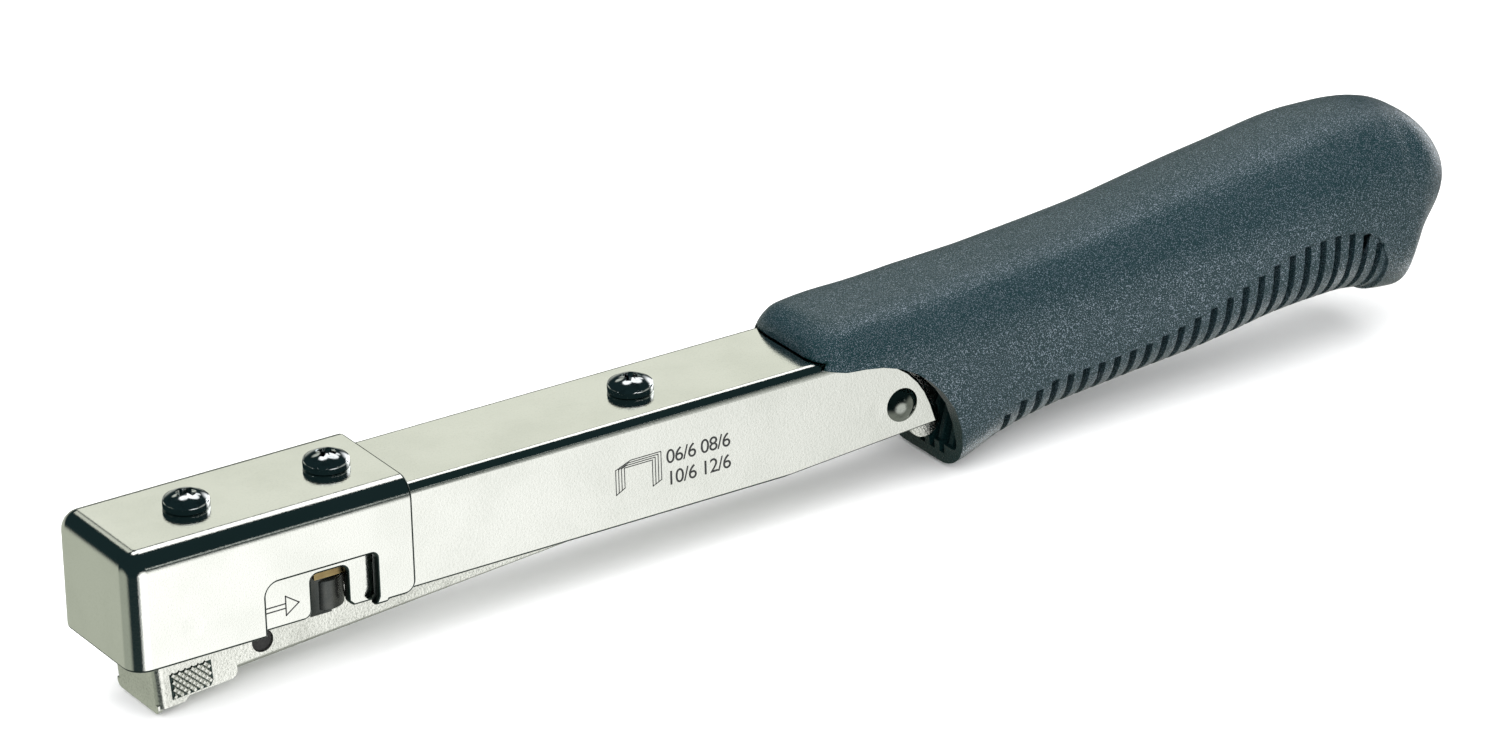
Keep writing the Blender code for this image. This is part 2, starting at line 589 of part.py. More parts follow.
def build_magazine(magazine):
    """Pieces that swing on the rivet, drawn from the hinge: -x forward along the magazine, z up."""
    # Side outline: long wall, a round ear about the rivet and a small tail below and behind it.
    wall = [(-MAGAZINE_FRONT, MAGAZINE_TOP), (-MAGAZINE_FRONT, MAGAZINE_BOTTOM)]
    wall.append((3.2 * MM, MAGAZINE_BOTTOM - 0.3 * MM))
    wall += arc(6.9 * MM, -7.0 * MM, TAIL_RADIUS, 165, 360 + 20, 11)
    wall += arc(1.5 * MM, -1.0 * MM, EAR_RADIUS, -22, 60, 8)
    wall.append((-12 * MM, MAGAZINE_TOP))
    bm = bmesh.new()
    slab(bm, wall, -MAGAZINE_HALF, MAGAZINE_HALF)
    channel = finish("magazine_channel", bm, "nickel", magazine)
    inner = MAGAZINE_HALF - MAGAZINE_SHEET
    bm = bmesh.new()
    box(bm, -MAGAZINE_FRONT - 5 * MM, -10 * MM, -inner, inner, MAGAZINE_BOTTOM + MAGAZINE_SHEET, 20 * MM)
    combine(channel, cutter("magazine_hollow_cutter", bm, magazine))
    bm = bmesh.new()
    box(bm, -10.4 * MM, 20 * MM, -inner, inner, -20 * MM, 20 * MM)
    combine(channel, cutter("magazine_rear_cutter", bm, magazine))
    bm = bmesh.new()
    rod(bm, (0, -20 * MM, 0), (0, 20 * MM, 0), RIVET_RADIUS + GAP)
    combine(channel, cutter("magazine_pivot_cutter", bm, magazine))
    bm = bmesh.new()
    hole = (-PEEP_HOLE_FORWARD, PEEP_HOLE_UP)
    rod(bm, (hole[0], -20 * MM, hole[1]), (hole[0], 20 * MM, hole[1]), PEEP_HOLE_RADIUS)
    combine(channel, cutter("peep_hole_cutter", bm, magazine))
    for side in (-1, 1):
        bend = bmesh.new()
        edge = MAGAZINE_HALF - 0.7 * MM
        outline = [(side * (MAGAZINE_HALF + MM), MAGAZINE_BOTTOM - MM), (side * edge, MAGAZINE_BOTTOM - MM)]
        outline.append((side * edge, MAGAZINE_BOTTOM))
        outline.append((side * (MAGAZINE_HALF - 0.2 * MM), MAGAZINE_BOTTOM + 0.2 * MM))
        outline.append((side * MAGAZINE_HALF, MAGAZINE_BOTTOM + 0.7 * MM))
        outline.append((side * (MAGAZINE_HALF + MM), MAGAZINE_BOTTOM + 0.7 * MM))
        slab(bend, outline, -MAGAZINE_FRONT - 5 * MM, -9 * MM, plane="yz")
        combine(channel, cutter(f"magazine_bend_cutter_{side}", bend, magazine))

    build_nose(magazine)
    build_rail(magazine)

    inner_span = MAGAZINE_HALF - MAGAZINE_SHEET - GAP
    radii = (RIVET_RADIUS + GAP, BUSH_RADIUS)
    ring_piece("pivot_bush", "spring_steel", magazine, 0, 0, radii, (-inner_span, inner_span))


def build_nose(magazine):
    bm = bmesh.new()
    tip_rear = 141.0 * MM
    corner = 1.4 * MM
    side = [(-NOSE_FRONT, NOSE_TIP_BOTTOM), (-tip_rear, NOSE_TIP_BOTTOM)]
    side.append((-tip_rear + 0.8 * MM, NOSE_SIDE_BOTTOM))
    side += arc(-NOSE_REAR - corner, NOSE_SIDE_BOTTOM + corner, corner, -90, 0, 3)
    side += arc(-NOSE_REAR - corner, NOSE_TOP - corner, corner, 0, 90, 3)
    side += [(-143.6 * MM, NOSE_TOP), (-143.9 * MM, NOSE_PLATE_TOP), (-NOSE_FRONT, NOSE_PLATE_TOP)]
    slab(bm, side, -NOSE_HALF, NOSE_HALF)
    nose = finish("nose_piece", bm, "nickel", magazine)
    # The front plate ends in a shallow round tongue below.
    bm = bmesh.new()
    drop = NOSE_TIP_BOTTOM - NOSE_TONGUE_BOTTOM
    tongue = []
    for step in range(13):
        share = -1 + 2 * step / 12
        tongue.append((share * (NOSE_HALF - 0.8 * MM), NOSE_TIP_BOTTOM - drop * (1 - share * share)))
    tongue += [(NOSE_HALF - 0.8 * MM, NOSE_TIP_BOTTOM + MM), (-NOSE_HALF + 0.8 * MM, NOSE_TIP_BOTTOM + MM)]
    slab(bm, tongue, -NOSE_FRONT, -NOSE_FRONT + NOSE_SHEET, plane="yz")
    combine(nose, cutter("nose_tongue", bm, magazine), "UNION")
    bm = bmesh.new()
    inner = NOSE_HALF - NOSE_SHEET
    box(bm, -NOSE_FRONT + NOSE_SHEET, 0, -inner, inner, -20 * MM, 20 * MM)
    combine(nose, cutter("nose_hollow_cutter", bm, magazine))
    return nose


def build_rail(magazine):
    bm = bmesh.new()
    low = MAGAZINE_BOTTOM + MAGAZINE_SHEET + GAP
    outline = channel_outline(RAIL_HALF, low, RAIL_TOP, RAIL_SHEET, 1.0 * MM)
    slab(bm, outline, -RAIL_FRONT, -RAIL_REAR, plane="yz")
    rail = finish("staple_rail", bm, "spring_steel", magazine)
    bm = bmesh.new()
    slot_half = 1.6 * MM
    box(bm, -PUSHER_FRONT, -30 * MM, -slot_half, slot_half, 0, 10 * MM)
    combine(rail, cutter("rail_slot_cutter", bm, magazine))

    bm = bmesh.new()
    top = RAIL_TOP + GAP + STAPLE_WIRE
    outline = channel_outline(STAPLE_HALF, top - STAPLE_HEIGHT, top, STAPLE_WIRE, 0.9 * MM)
    slab(bm, outline, -STRIP_FRONT, -STRIP_REAR, plane="yz")
    finish("staple_strip", bm, "staple_wire", magazine)

    bm = bmesh.new()
    rod(bm, (-ROD_FRONT, 0, ROD_UP), (-ROD_HOLDER_REAR, 0, ROD_UP), ROD_RADIUS, sides=16)
    finish("spring_rod", bm, "spring_steel", magazine, (-ROD_FRONT, 0, ROD_UP))
    bm = bmesh.new()
    inner = RAIL_HALF - RAIL_SHEET - GAP
    box(bm, -ROD_HOLDER_FRONT, -ROD_HOLDER_REAR, -inner, inner, low, RAIL_TOP - RAIL_SHEET - GAP)
    holder = finish("rod_holder", bm, "spring_steel", magazine, smooth=False)
    bm = bmesh.new()
    rod(bm, (-40 * MM, 0, ROD_UP), (-10 * MM, 0, ROD_UP), ROD_RADIUS + GAP, sides=16)
    combine(holder, cutter("holder_hole_cutter", bm, magazine))

    for name, forward in (("front", 118.0 * MM), ("rear", 46.0 * MM)):
        build_rail_tab(magazine, name, forward)


def build_rail_tab(magazine, name, forward):
    """Rivet that holds the rail down on the magazine's floor, beside the spring."""
    bm = bmesh.new()
    floor = MAGAZINE_BOTTOM + MAGAZINE_SHEET
    box(bm, -forward - 2 * MM, -forward + 2 * MM, -3.1 * MM, 3.1 * MM, floor + GAP, floor + 0.7 * MM)
    finish(f"rail_clip_{name}", bm, "spring_steel", magazine, (-forward, 0, floor), smooth=False)


def build_pusher(magazine):
    bm = bmesh.new()
    top = RAIL_TOP + GAP
    inner = RAIL_HALF + GAP
    outline = [(STAPLE_HALF, -2.6 * MM), (STAPLE_HALF, 3.4 * MM), (-STAPLE_HALF, 3.4 * MM), (-STAPLE_HALF, -2.6 * MM)]
    outline += [(-inner, -2.6 * MM), (-inner, top), (inner, top), (inner, -2.6 * MM)]
    slab(bm, outline, -PUSHER_FRONT, -PUSHER_REAR, plane="yz")
    pusher = finish("pusher", bm, "zinc_yellow", magazine, (-PUSHER_FRONT, 0, ROD_UP), smooth=False)
    bm = bmesh.new()
    box(bm, -PUSHER_REAR - 4 * MM, -PUSHER_REAR - 1.5 * MM, -1.2 * MM, 1.2 * MM, ROD_UP, top + 0.3 * MM)
    combine(pusher, cutter("pusher_tongue", bm, magazine), "UNION")
    bm = bmesh.new()
    rod(bm, (-PUSHER_REAR - 4 * MM, 0, ROD_UP), (-PUSHER_REAR - 1.5 * MM, 0, ROD_UP), 1.95 * MM, sides=20)
    combine(pusher, cutter("pusher_washer", bm, magazine), "UNION")
    bm = bmesh.new()
    rod(bm, (-PUSHER_REAR - 8 * MM, 0, ROD_UP), (-PUSHER_REAR + 8 * MM, 0, ROD_UP), ROD_RADIUS + GAP, sides=16)
    combine(pusher, cutter("pusher_rod_cutter", bm, magazine))

    start = -PUSHER_REAR - 1.5 * MM + GAP + 0.2 * MM
    end = -ROD_HOLDER_FRONT - GAP - 0.2 * MM
    points = helix((start, 0, ROD_UP), (end, 0, ROD_UP), 1.75 * MM, 24, 9)
    bm = bmesh.new()
    tube_along(bm, points, 0.24 * MM, 5)
    finish("pusher_spring", bm, "spring_steel", magazine, (start, 0, ROD_UP))


def build_return_spring(tool):
    """Torsion spring about the bush: one leg bears on the frame's roof, the other on the magazine."""
    radius, wire, turns, steps = 4.6 * MM, 0.45 * MM, 5, 12
    side = 4.4 * MM
    points = [Vector((HINGE_X - 17 * MM, -side, BLOCK_TOP - wire)), Vector((HINGE_X - 9 * MM, -side, 15.2 * MM))]
    total = turns * steps + 4
    for step in range(total + 1):
        angle = math.radians(105) + 2 * math.pi * step / steps
        y = -side + 2 * side * step / total
        points.append(Vector((HINGE_X + radius * math.cos(angle), y, HINGE_Z + radius * math.sin(angle))))
    down = Matrix.Rotation(-DROOP, 3, "Y")
    for forward, up in ((9 * MM, -3.0 * MM), (20 * MM, -2.5 * MM)):
        offset = down @ Vector((-forward, 0, up))
        points.append(Vector((HINGE_X, side + 0.5 * MM, HINGE_Z)) + offset)
    bm = bmesh.new()
    tube_along(bm, points, wire, 6)
    finish("return_spring", bm, "spring_steel", tool, (HINGE_X, 0, HINGE_Z))


def build_grip(tool):
    rings = []
    bm = bmesh.new()
    for x, top, under, half, squareness in GRIP_STATIONS:
        middle, reach = (top + under) / 2, (top - under) / 2
        power = 2 / squareness
        ring = []
        for index in range(GRIP_POINTS):
            angle = 2 * math.pi * (index + 0.5) / GRIP_POINTS
            across, up = math.cos(angle), math.sin(angle)
            y = half * math.copysign(abs(across) ** power, across)
            z = middle + reach * math.copysign(abs(up) ** power, up)
            ring.append(bm.verts.new((x * MM, y * MM, z * MM)))
        rings.append(ring)
    for first, second in zip(rings, rings[1:]):
        for index in range(GRIP_POINTS):
            after = (index + 1) % GRIP_POINTS
            bm.faces.new((first[index], first[after], second[after], second[index]))
    bm.faces.new(rings[0][::-1])
    bm.faces.new(rings[-1])
    grip = finish("grip", bm, "grip_blue", tool)

    # Open arch round the frame's rear cheeks: the side walls start behind it.
    arch = [(125.0, 19.3), (141.0, 19.3), (147.0, 17.8), (151.3, 15.3), (154.6, 12.9), (158.0, 9.2)]
    arch += [(160.6, 5.0), (161.9, 1.0), (162.8, -2.6), (163.1, -5.5), (163.1, -15.0)]
    arch.append((125.0, -15.0))
    bm = bmesh.new()
    slab(bm, [(x * MM, z * MM) for x, z in arch], -30 * MM, 30 * MM)
    combine(grip, cutter("grip_arch_cutter", bm, tool))
    roof, ceiling = FRAME_HEIGHT + GAP, FRAME_HEIGHT - FRAME_SHEET
    bm = bmesh.new()
    box(bm, 125 * MM, 141 * MM, -CHAMBER_HALF, CHAMBER_HALF, 0, roof)
    combine(grip, cutter("grip_roof_cutter", bm, tool))
    bm = bmesh.new()
    box(bm, 138 * MM, CHAMBER_REAR, -CHAMBER_HALF, CHAMBER_HALF, CHAMBER_FLOOR, ceiling)
    combine(grip, cutter("grip_chamber_cutter", bm, tool))
    bm = bmesh.new()
    tang = TANG_WIDTH / 2 + GAP
    box(bm, 139 * MM, TANG_END + 1 * MM, -tang, tang, ceiling - GAP, roof)
    combine(grip, cutter("grip_tang_cutter", bm, tool))
    # The sole under the front lip lies in the plane the tool stands on.
    bm = bmesh.new()
    length, deep = 60 * MM, -30 * MM
    rear_height = GRIP_SOLE + length * math.tan(REST_TILT)
    outline = [(SOLE_FRONT, GRIP_SOLE), (SOLE_FRONT, deep), (SOLE_FRONT + length, deep)]
    outline.append((SOLE_FRONT + length, rear_height))
    slab(bm, outline, -30 * MM, 30 * MM)
    combine(grip, cutter("grip_sole_cutter", bm, tool))
    return grip


def stand_on_ground(tool):
    """Moves the whole tool so that its box stands centred on the origin."""
    bpy.context.view_layer.update()
    corners = []
    for item in bpy.data.objects:
        if item.type == "MESH" and not item.hide_render:
            corners += [item.matrix_world @ vertex.co for vertex in item.data.vertices]
    low = [min(point[axis] for point in corners) for axis in range(3)]
    high = [max(point[axis] for point in corners) for axis in range(3)]
    tool.location = (-(low[0] + high[0]) / 2, -(low[1] + high[1]) / 2, -low[2])
    bpy.context.view_layer.update()


def main():
    clear_scene()
    tool = pivot("tool_axis", lean=-REST_TILT)
    magazine = pivot("magazine_pivot", tool, (HINGE_X, 0, HINGE_Z), DROOP)
    build_frame(tool)
    build_cap(tool)
    build_pan_screw(tool, "cap_screw_front", FRONT_SCREW_X, CAP_TOP, 10.6 * MM)
    build_pan_screw(tool, "cap_screw_rear", REAR_SCREW_X, CAP_TOP, 13.8 * MM)
    build_pan_screw(tool, "buffer_screw", BUFFER_SCREW_X, FRAME_HEIGHT, 12.5 * MM)
    build_head_internals(tool)
    build_rivet(tool)
    washer = (MAGAZINE_HALF + GAP, FRAME_WIDTH / 2 - FRAME_SHEET - GAP)
    radii = (RIVET_RADIUS + GAP, 4.6 * MM)
    for name, side in (("near", -1), ("far", 1)):
        span = tuple(sorted((side * washer[0], side * washer[1])))
        ring_piece(f"pivot_washer_{name}", "spring_steel", tool, HINGE_X, HINGE_Z, radii, span)
    build_catch(tool)
    build_magazine(magazine)
    build_pusher(magazine)
    build_return_spring(tool)
    build_grip(tool)
    stand_on_ground(tool)


main()
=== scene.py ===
"""Hammer tacker in nickel-plated steel with a speckled, ribbed plastic grip, on a pale studio floor.

Pieces are drawn on the tool's own axes: x from the striking face to the butt, y across, z up from the
frame's lower edge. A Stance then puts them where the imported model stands.
"""
from __future__ import annotations

import json
import logging
import math
from dataclasses import dataclass, field
from enum import Enum
from typing import Callable, Sequence

import bmesh
import bpy
from mathutils import Matrix, Vector


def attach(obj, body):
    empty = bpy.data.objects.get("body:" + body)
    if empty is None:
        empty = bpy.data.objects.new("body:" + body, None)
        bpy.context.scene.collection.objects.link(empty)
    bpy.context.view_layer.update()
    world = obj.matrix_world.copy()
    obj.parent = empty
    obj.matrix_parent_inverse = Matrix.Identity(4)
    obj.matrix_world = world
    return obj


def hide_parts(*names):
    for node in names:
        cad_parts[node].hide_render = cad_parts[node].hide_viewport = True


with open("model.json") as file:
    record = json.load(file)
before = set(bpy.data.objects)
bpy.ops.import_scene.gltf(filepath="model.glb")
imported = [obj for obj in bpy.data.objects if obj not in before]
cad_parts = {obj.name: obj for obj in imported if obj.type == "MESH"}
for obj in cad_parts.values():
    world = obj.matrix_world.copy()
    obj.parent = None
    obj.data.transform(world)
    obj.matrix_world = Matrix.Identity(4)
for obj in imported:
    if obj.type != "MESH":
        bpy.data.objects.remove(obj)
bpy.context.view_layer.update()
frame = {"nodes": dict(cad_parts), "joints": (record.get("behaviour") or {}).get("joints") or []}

log = logging.getLogger("tacker")
MM = 0.001
Point = tuple[float, float]
Triple = tuple[float, float, float]


class Body(str, Enum):
    """The moving bodies that a piece can ride on."""

    TOOL = "tool_body"
    MAGAZINE = "magazine"
    PUSHER = "pusher"
    CATCH = "catch"


class Pick(str, Enum):
    """What an edit-mode selection is made of."""

    FACES = "FACE"
    EDGES = "EDGE"


@dataclass(frozen=True)
class Stance:
    """Where the tool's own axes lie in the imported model.

    The tool stands on its nose and on the sole of the grip, and the magazine droops from its hinge.
    """

    tilt: float = math.radians(1.1)
    droop: float = math.radians(4.7)
    hinge: Triple = (152.0 * MM, 0.0, 7.2 * MM)

    def tool(self) -> Matrix:
        """Returns the matrix from the tool's axes to the model's."""
        joint = next(joint for joint in frame["joints"] if joint["name"] == "magazine_hinge")
        turn = Matrix.Rotation(self.tilt, 4, "Y")
        return Matrix.Translation(Vector(joint["pos_m"]) - turn @ Vector(self.hinge)) @ turn

    def magazine(self) -> Matrix:
        """Returns the matrix from the magazine's axes, which start at the hinge, to the model's."""
        return self.tool() @ Matrix.Translation(self.hinge) @ Matrix.Rotation(-self.droop, 4, "Y")


# ---------------------------------------------------------------------------------------- finishes


class Wire:
    """A shader socket that can be used in arithmetic."""

    def __init__(self, graph: Graph, socket: bpy.types.NodeSocket) -> None:
        """Keeps the socket and the graph that it belongs to."""
        self.graph = graph
        self.socket = socket

    def math(self, operation: str, *others: Wire | float, clamp: bool = False) -> Wire:
        """Feeds this value and others to a Math node.

        Args:
            operation: The node's operation, such as MULTIPLY.
            others: The values of its further sockets.
            clamp: Whether the result is held between 0 and 1.

        Returns:
            The node's result.
        """
        values = dict(enumerate((self, *others)))
        return self.graph.node("ShaderNodeMath", values, operation=operation, use_clamp=clamp)

    def __add__(self, other: Wire | float) -> Wire:
        """Adds."""
        return self.math("ADD", other)

    __radd__ = __add__

    def __mul__(self, other: Wire | float) -> Wire:
        """Multiplies."""
        return self.math("MULTIPLY", other)

    __rmul__ = __mul__

    def __sub__(self, other: Wire | float) -> Wire:
        """Takes the other value away."""
        return self.math("SUBTRACT", other)

    def __rsub__(self, other: float) -> Wire:
        """Takes this value away from a number."""
        return (self * -1.0) + other

    def ramp(self, low: float, high: float) -> Wire:
        """Returns 0 below low, 1 above high and an eased step between them."""
        values = {0: self, 1: low, 2: high, 3: 0.0, 4: 1.0}
        return self.graph.node("ShaderNodeMapRange", values, interpolation_type="SMOOTHSTEP")


class Graph:
    """The node tree of one material or of the room."""

    def __init__(self, owner: bpy.types.ID, shader: str = "Principled BSDF") -> None:
        """Starts from the owner's plain tree, which holds its output and this shader."""
        owner.use_nodes = True
        self.owner = owner
        self.tree = owner.node_tree
        self.shader = self.tree.nodes[shader]

    @classmethod
    def paint(cls, name: str) -> Graph:
        """Starts a material."""
        return cls(bpy.data.materials.new(name))

    def node(self, kind: str, values: dict | None = None, output: int | str = 0, **settings: object) -> Wire:
        """Adds one node.

        Args:
            kind: The node's type.
            values: Numbers, colours or wires by the socket's name or index.
            output: The socket that is wanted.
            settings: The node's own settings, which are set first.

        Returns:
            The wanted output as a wire.
        """
        made = self.tree.nodes.new(kind)
        for key, setting in settings.items():
            setattr(made, key, setting)
        for key, value in (values or {}).items():
            self.feed(made.inputs[key], value)
        return Wire(self, made.outputs[output])

    def feed(self, socket: bpy.types.NodeSocket, value: object) -> None:
        """Links a wire to a socket, or sets the socket's own value."""
        if isinstance(value, Wire):
            self.tree.links.new(value.socket, socket)
        else:
            socket.default_value = value

    def place(self, stretch: Triple = (1.0, 1.0, 1.0)) -> Wire:
        """Returns object coordinates in metres, stretched along each axis."""
        where = self.node("ShaderNodeTexCoord", output="Object")
        return self.node("ShaderNodeMapping", {"Vector": where, "Scale": stretch})

    def noise(self, where: Wire, size_mm: float, detail: float = 2.0, rough: float = 0.5) -> Wire:
        """Returns smooth noise from 0 to 1 whose blotches are about size_mm across."""
        values = {"Vector": where, "Scale": 1.0 / (size_mm * MM), "Detail": detail, "Roughness": rough}
        return self.node("ShaderNodeTexNoise", values, output="Fac")

    def cells(self, where: Wire, size_mm: float) -> Wire:
        """Returns the distance to the nearest grain centre, for grains size_mm apart."""
        values = {"Vector": where, "Scale": 1.0 / (size_mm * MM)}
        return self.node("ShaderNodeTexVoronoi", values, output="Distance")

    def mix(self, amount: Wire | float, first: object, second: object) -> Wire:
        """Returns a colour between first and second."""
        values = {0: amount, 6: self.colour(first), 7: self.colour(second)}
        return self.node("ShaderNodeMix", values, output=2, data_type="RGBA")

    @staticmethod
    def colour(value: object) -> object:
        """Gives a plain triple its alpha, and leaves a wire as it is."""
        return value if isinstance(value, Wire) else (*value, 1.0)

    def bump(self, height: Wire, depth_mm: float, strength: float = 1.0) -> Wire:
        """Returns a normal that is bent by a height from 0 to 1 over depth_mm."""
        values = {"Height": height, "Distance": depth_mm * MM, "Strength": strength}
        return self.node("ShaderNodeBump", values)

    def surface(self, **values: object) -> bpy.types.Material:
        """Feeds the Principled shader, with words joined by underscores for its socket names."""
        for key, value in values.items():
            self.feed(self.shader.inputs[key.replace("_", " ")], value)
        return self.owner


@dataclass(frozen=True)
class Plate:
    """Nickel or zinc plate over pressed sheet steel, with the grain of the sheet under it."""

    name: str
    tint: Triple = (0.86, 0.87, 0.83)
    shade: Triple = (0.66, 0.68, 0.63)
    roughness: float = 0.09
    grain_mm: float = 0.32
    grain_depth_mm: float = 0.014
    scuffs: float = 0.2

    def make(self) -> bpy.types.Material:
        """Returns the material."""
        graph = Graph.paint(self.name)
        where = graph.place()
        grain = graph.noise(where, self.grain_mm, 3.0, 0.65)
        cloud = graph.noise(where, 14.0, 3.0, 0.55)
        speck = graph.noise(where, self.grain_mm * 0.6, 1.0, 0.4).ramp(0.63, 0.72)
        drawn = graph.noise(graph.place((0.06, 1.0, 1.0)), 0.35, 2.0, 0.6)
        tone = cloud.ramp(0.35, 0.75) * 0.35 + speck * (0.45 * self.scuffs) + grain.ramp(0.45, 0.75) * 0.25
        rough = grain * 0.05 + cloud * 0.04 + drawn * 0.03 + (self.roughness - 0.06)
        height = grain * 0.85 + drawn * 0.15
        return graph.surface(
            Base_Color=graph.mix(tone, self.tint, self.shade),
            Metallic=1.0,
            Roughness=rough,
            Normal=graph.bump(height, self.grain_depth_mm),
        )


@dataclass(frozen=True)
class Steel:
    """Bare, blackened or plated working steel with drawn lines along the tool."""

    name: str
    tint: Triple
    shade: Triple
    roughness: float = 0.30
    metallic: float = 1.0
    stretch: Triple = (0.08, 1.0, 1.0)

    def make(self) -> bpy.types.Material:
        """Returns the material."""
        graph = Graph.paint(self.name)
        lines = graph.noise(graph.place(self.stretch), 0.5, 3.0, 0.6)
        stain = graph.noise(graph.place(), 5.0, 4.0, 0.6)
        return graph.surface(
            Base_Color=graph.mix(lines * 0.4 + stain.ramp(0.35, 0.7) * 0.6, self.tint, self.shade),
            Metallic=self.metallic,
            Roughness=lines * 0.14 + stain * 0.12 + (self.roughness - 0.13),
            Normal=graph.bump(lines, 0.012),
        )


@dataclass(frozen=True)
class Polish:
    """Turned and polished screw and rivet heads with faint rings of dirt."""

    name: str
    tint: Triple = (0.72, 0.75, 0.76)
    shade: Triple = (0.40, 0.43, 0.44)
    roughness: float = 0.06

    def make(self) -> bpy.types.Material:
        """Returns the material."""
        graph = Graph.paint(self.name)
        where = graph.place()
        haze = graph.noise(where, 1.6, 4.0, 0.6)
        fine = graph.noise(where, 0.22, 2.0, 0.5)
        return graph.surface(
            Base_Color=graph.mix(haze.ramp(0.45, 0.8), self.tint, self.shade),
            Metallic=1.0,
            Roughness=haze * 0.10 + (self.roughness - 0.03),
            Normal=graph.bump(fine, 0.002),
        )


@dataclass(frozen=True)
class SparkPlastic:
    """Moulded plastic whose mould was spark-eroded: close, glinting grains on a slate ground."""

    name: str
    ground: Triple = (0.003, 0.016, 0.019)
    glint: Triple = (0.34, 0.40, 0.47)
    glint_mm: float = 0.19
    roughness: float = 0.30
    grain_mm: float = 0.42
    grain_depth_mm: float = 0.07
    specular: float = 0.30

    def make(self) -> bpy.types.Material:
        """Returns the material."""
        graph = Graph.paint(self.name)
        where = graph.place()
        cells = graph.cells(where, self.grain_mm)
        fine = graph.noise(where, self.grain_mm * 0.6, 2.0, 0.6)
        broad = graph.noise(where, 30.0, 2.0, 0.5)
        pips = (1.0 - cells.ramp(0.10, 0.62)) * 0.5 + fine * 0.5
        glints = graph.noise(where, self.glint_mm, 1.0, 0.5).ramp(0.56, 0.68)
        return graph.surface(
            Base_Color=graph.mix(glints * 0.9 + broad * 0.02, self.ground, self.glint),
            Metallic=glints * 0.97,
            Specular_IOR_Level=self.specular,
            Roughness=fine * 0.14 + (self.roughness - 0.07),
            Normal=graph.bump(pips, self.grain_depth_mm),
        )


@dataclass(frozen=True)
class Matte:
    """Rubber, marking ink and other dull surfaces with a fine tooth."""

    name: str
    tint: Triple
    shade: Triple
    roughness: float = 0.75
    tooth_mm: float = 0.4

    def make(self) -> bpy.types.Material:
        """Returns the material."""
        graph = Graph.paint(self.name)
        tooth = graph.noise(graph.place(), self.tooth_mm, 3.0, 0.6)
        return graph.surface(
            Base_Color=graph.mix(tooth, self.tint, self.shade),
            Roughness=tooth * 0.1 + (self.roughness - 0.05),
            Normal=graph.bump(tooth, 0.02),
        )


class Paintbox:
    """Every finish of the tool, made once each."""

    def __init__(self) -> None:
        """Makes the materials."""
        dark = Steel("blade_steel", (0.20, 0.20, 0.21), (0.09, 0.09, 0.10), 0.36)
        finishes = [
            Plate("nickel"),
            Plate("nickel_coarse", (0.86, 0.87, 0.82), (0.34, 0.35, 0.31), 0.20, 0.45, 0.06, 1.0),
            # Dark steel for broken edges, cut faces and the knurl's ground: painted shade and painted shadow
            # lines where the sheets meet.
            Plate("painted_shade_steel", (0.045, 0.065, 0.060), (0.02, 0.03, 0.028), 0.32, 0.3, 0.02, 0.5),
            Polish("polished"),
            Polish("rivet_steel", (0.30, 0.32, 0.29), (0.12, 0.13, 0.12), 0.12),
            dark,
            Steel("black_steel", (0.045, 0.052, 0.052), (0.11, 0.11, 0.10), 0.26, 0.9, (1.0, 1.0, 0.1)),
            Steel("zinc_yellow", (0.52, 0.42, 0.20), (0.33, 0.22, 0.10), 0.34),
            Steel("spring_steel", (0.42, 0.42, 0.41), (0.20, 0.20, 0.20), 0.30),
            Steel("staple_wire", (0.66, 0.66, 0.64), (0.42, 0.42, 0.41), 0.34, 1.0, (1.0, 0.1, 0.1)),
            Matte("buffer_black", (0.016, 0.016, 0.016), (0.035, 0.035, 0.034), 0.82),
            Matte("marking", (0.010, 0.012, 0.012), (0.03, 0.03, 0.03), 0.6),
            SparkPlastic("grip_blue"),
            # A darker copy of the grip's plastic for the faces inside the front opening: painted shade.
            SparkPlastic("grip_painted_shade", (0.003, 0.013, 0.014), (0.03, 0.06, 0.06), specular=0.08),
        ]
        self.materials = {finish.name: finish.make() for finish in finishes}

    def __getitem__(self, name: str) -> bpy.types.Material:
        """Returns the finish of that name."""
        return self.materials[name]

    def dress_node(self, node: str, finish: str) -> None:
        """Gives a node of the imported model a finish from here."""
        slots = frame["nodes"][node].data.materials
        slots.clear()
        slots.append(self[finish])
        log.info("node %s: %s", node, finish)


# ------------------------------------------------------------------------------------- the bench


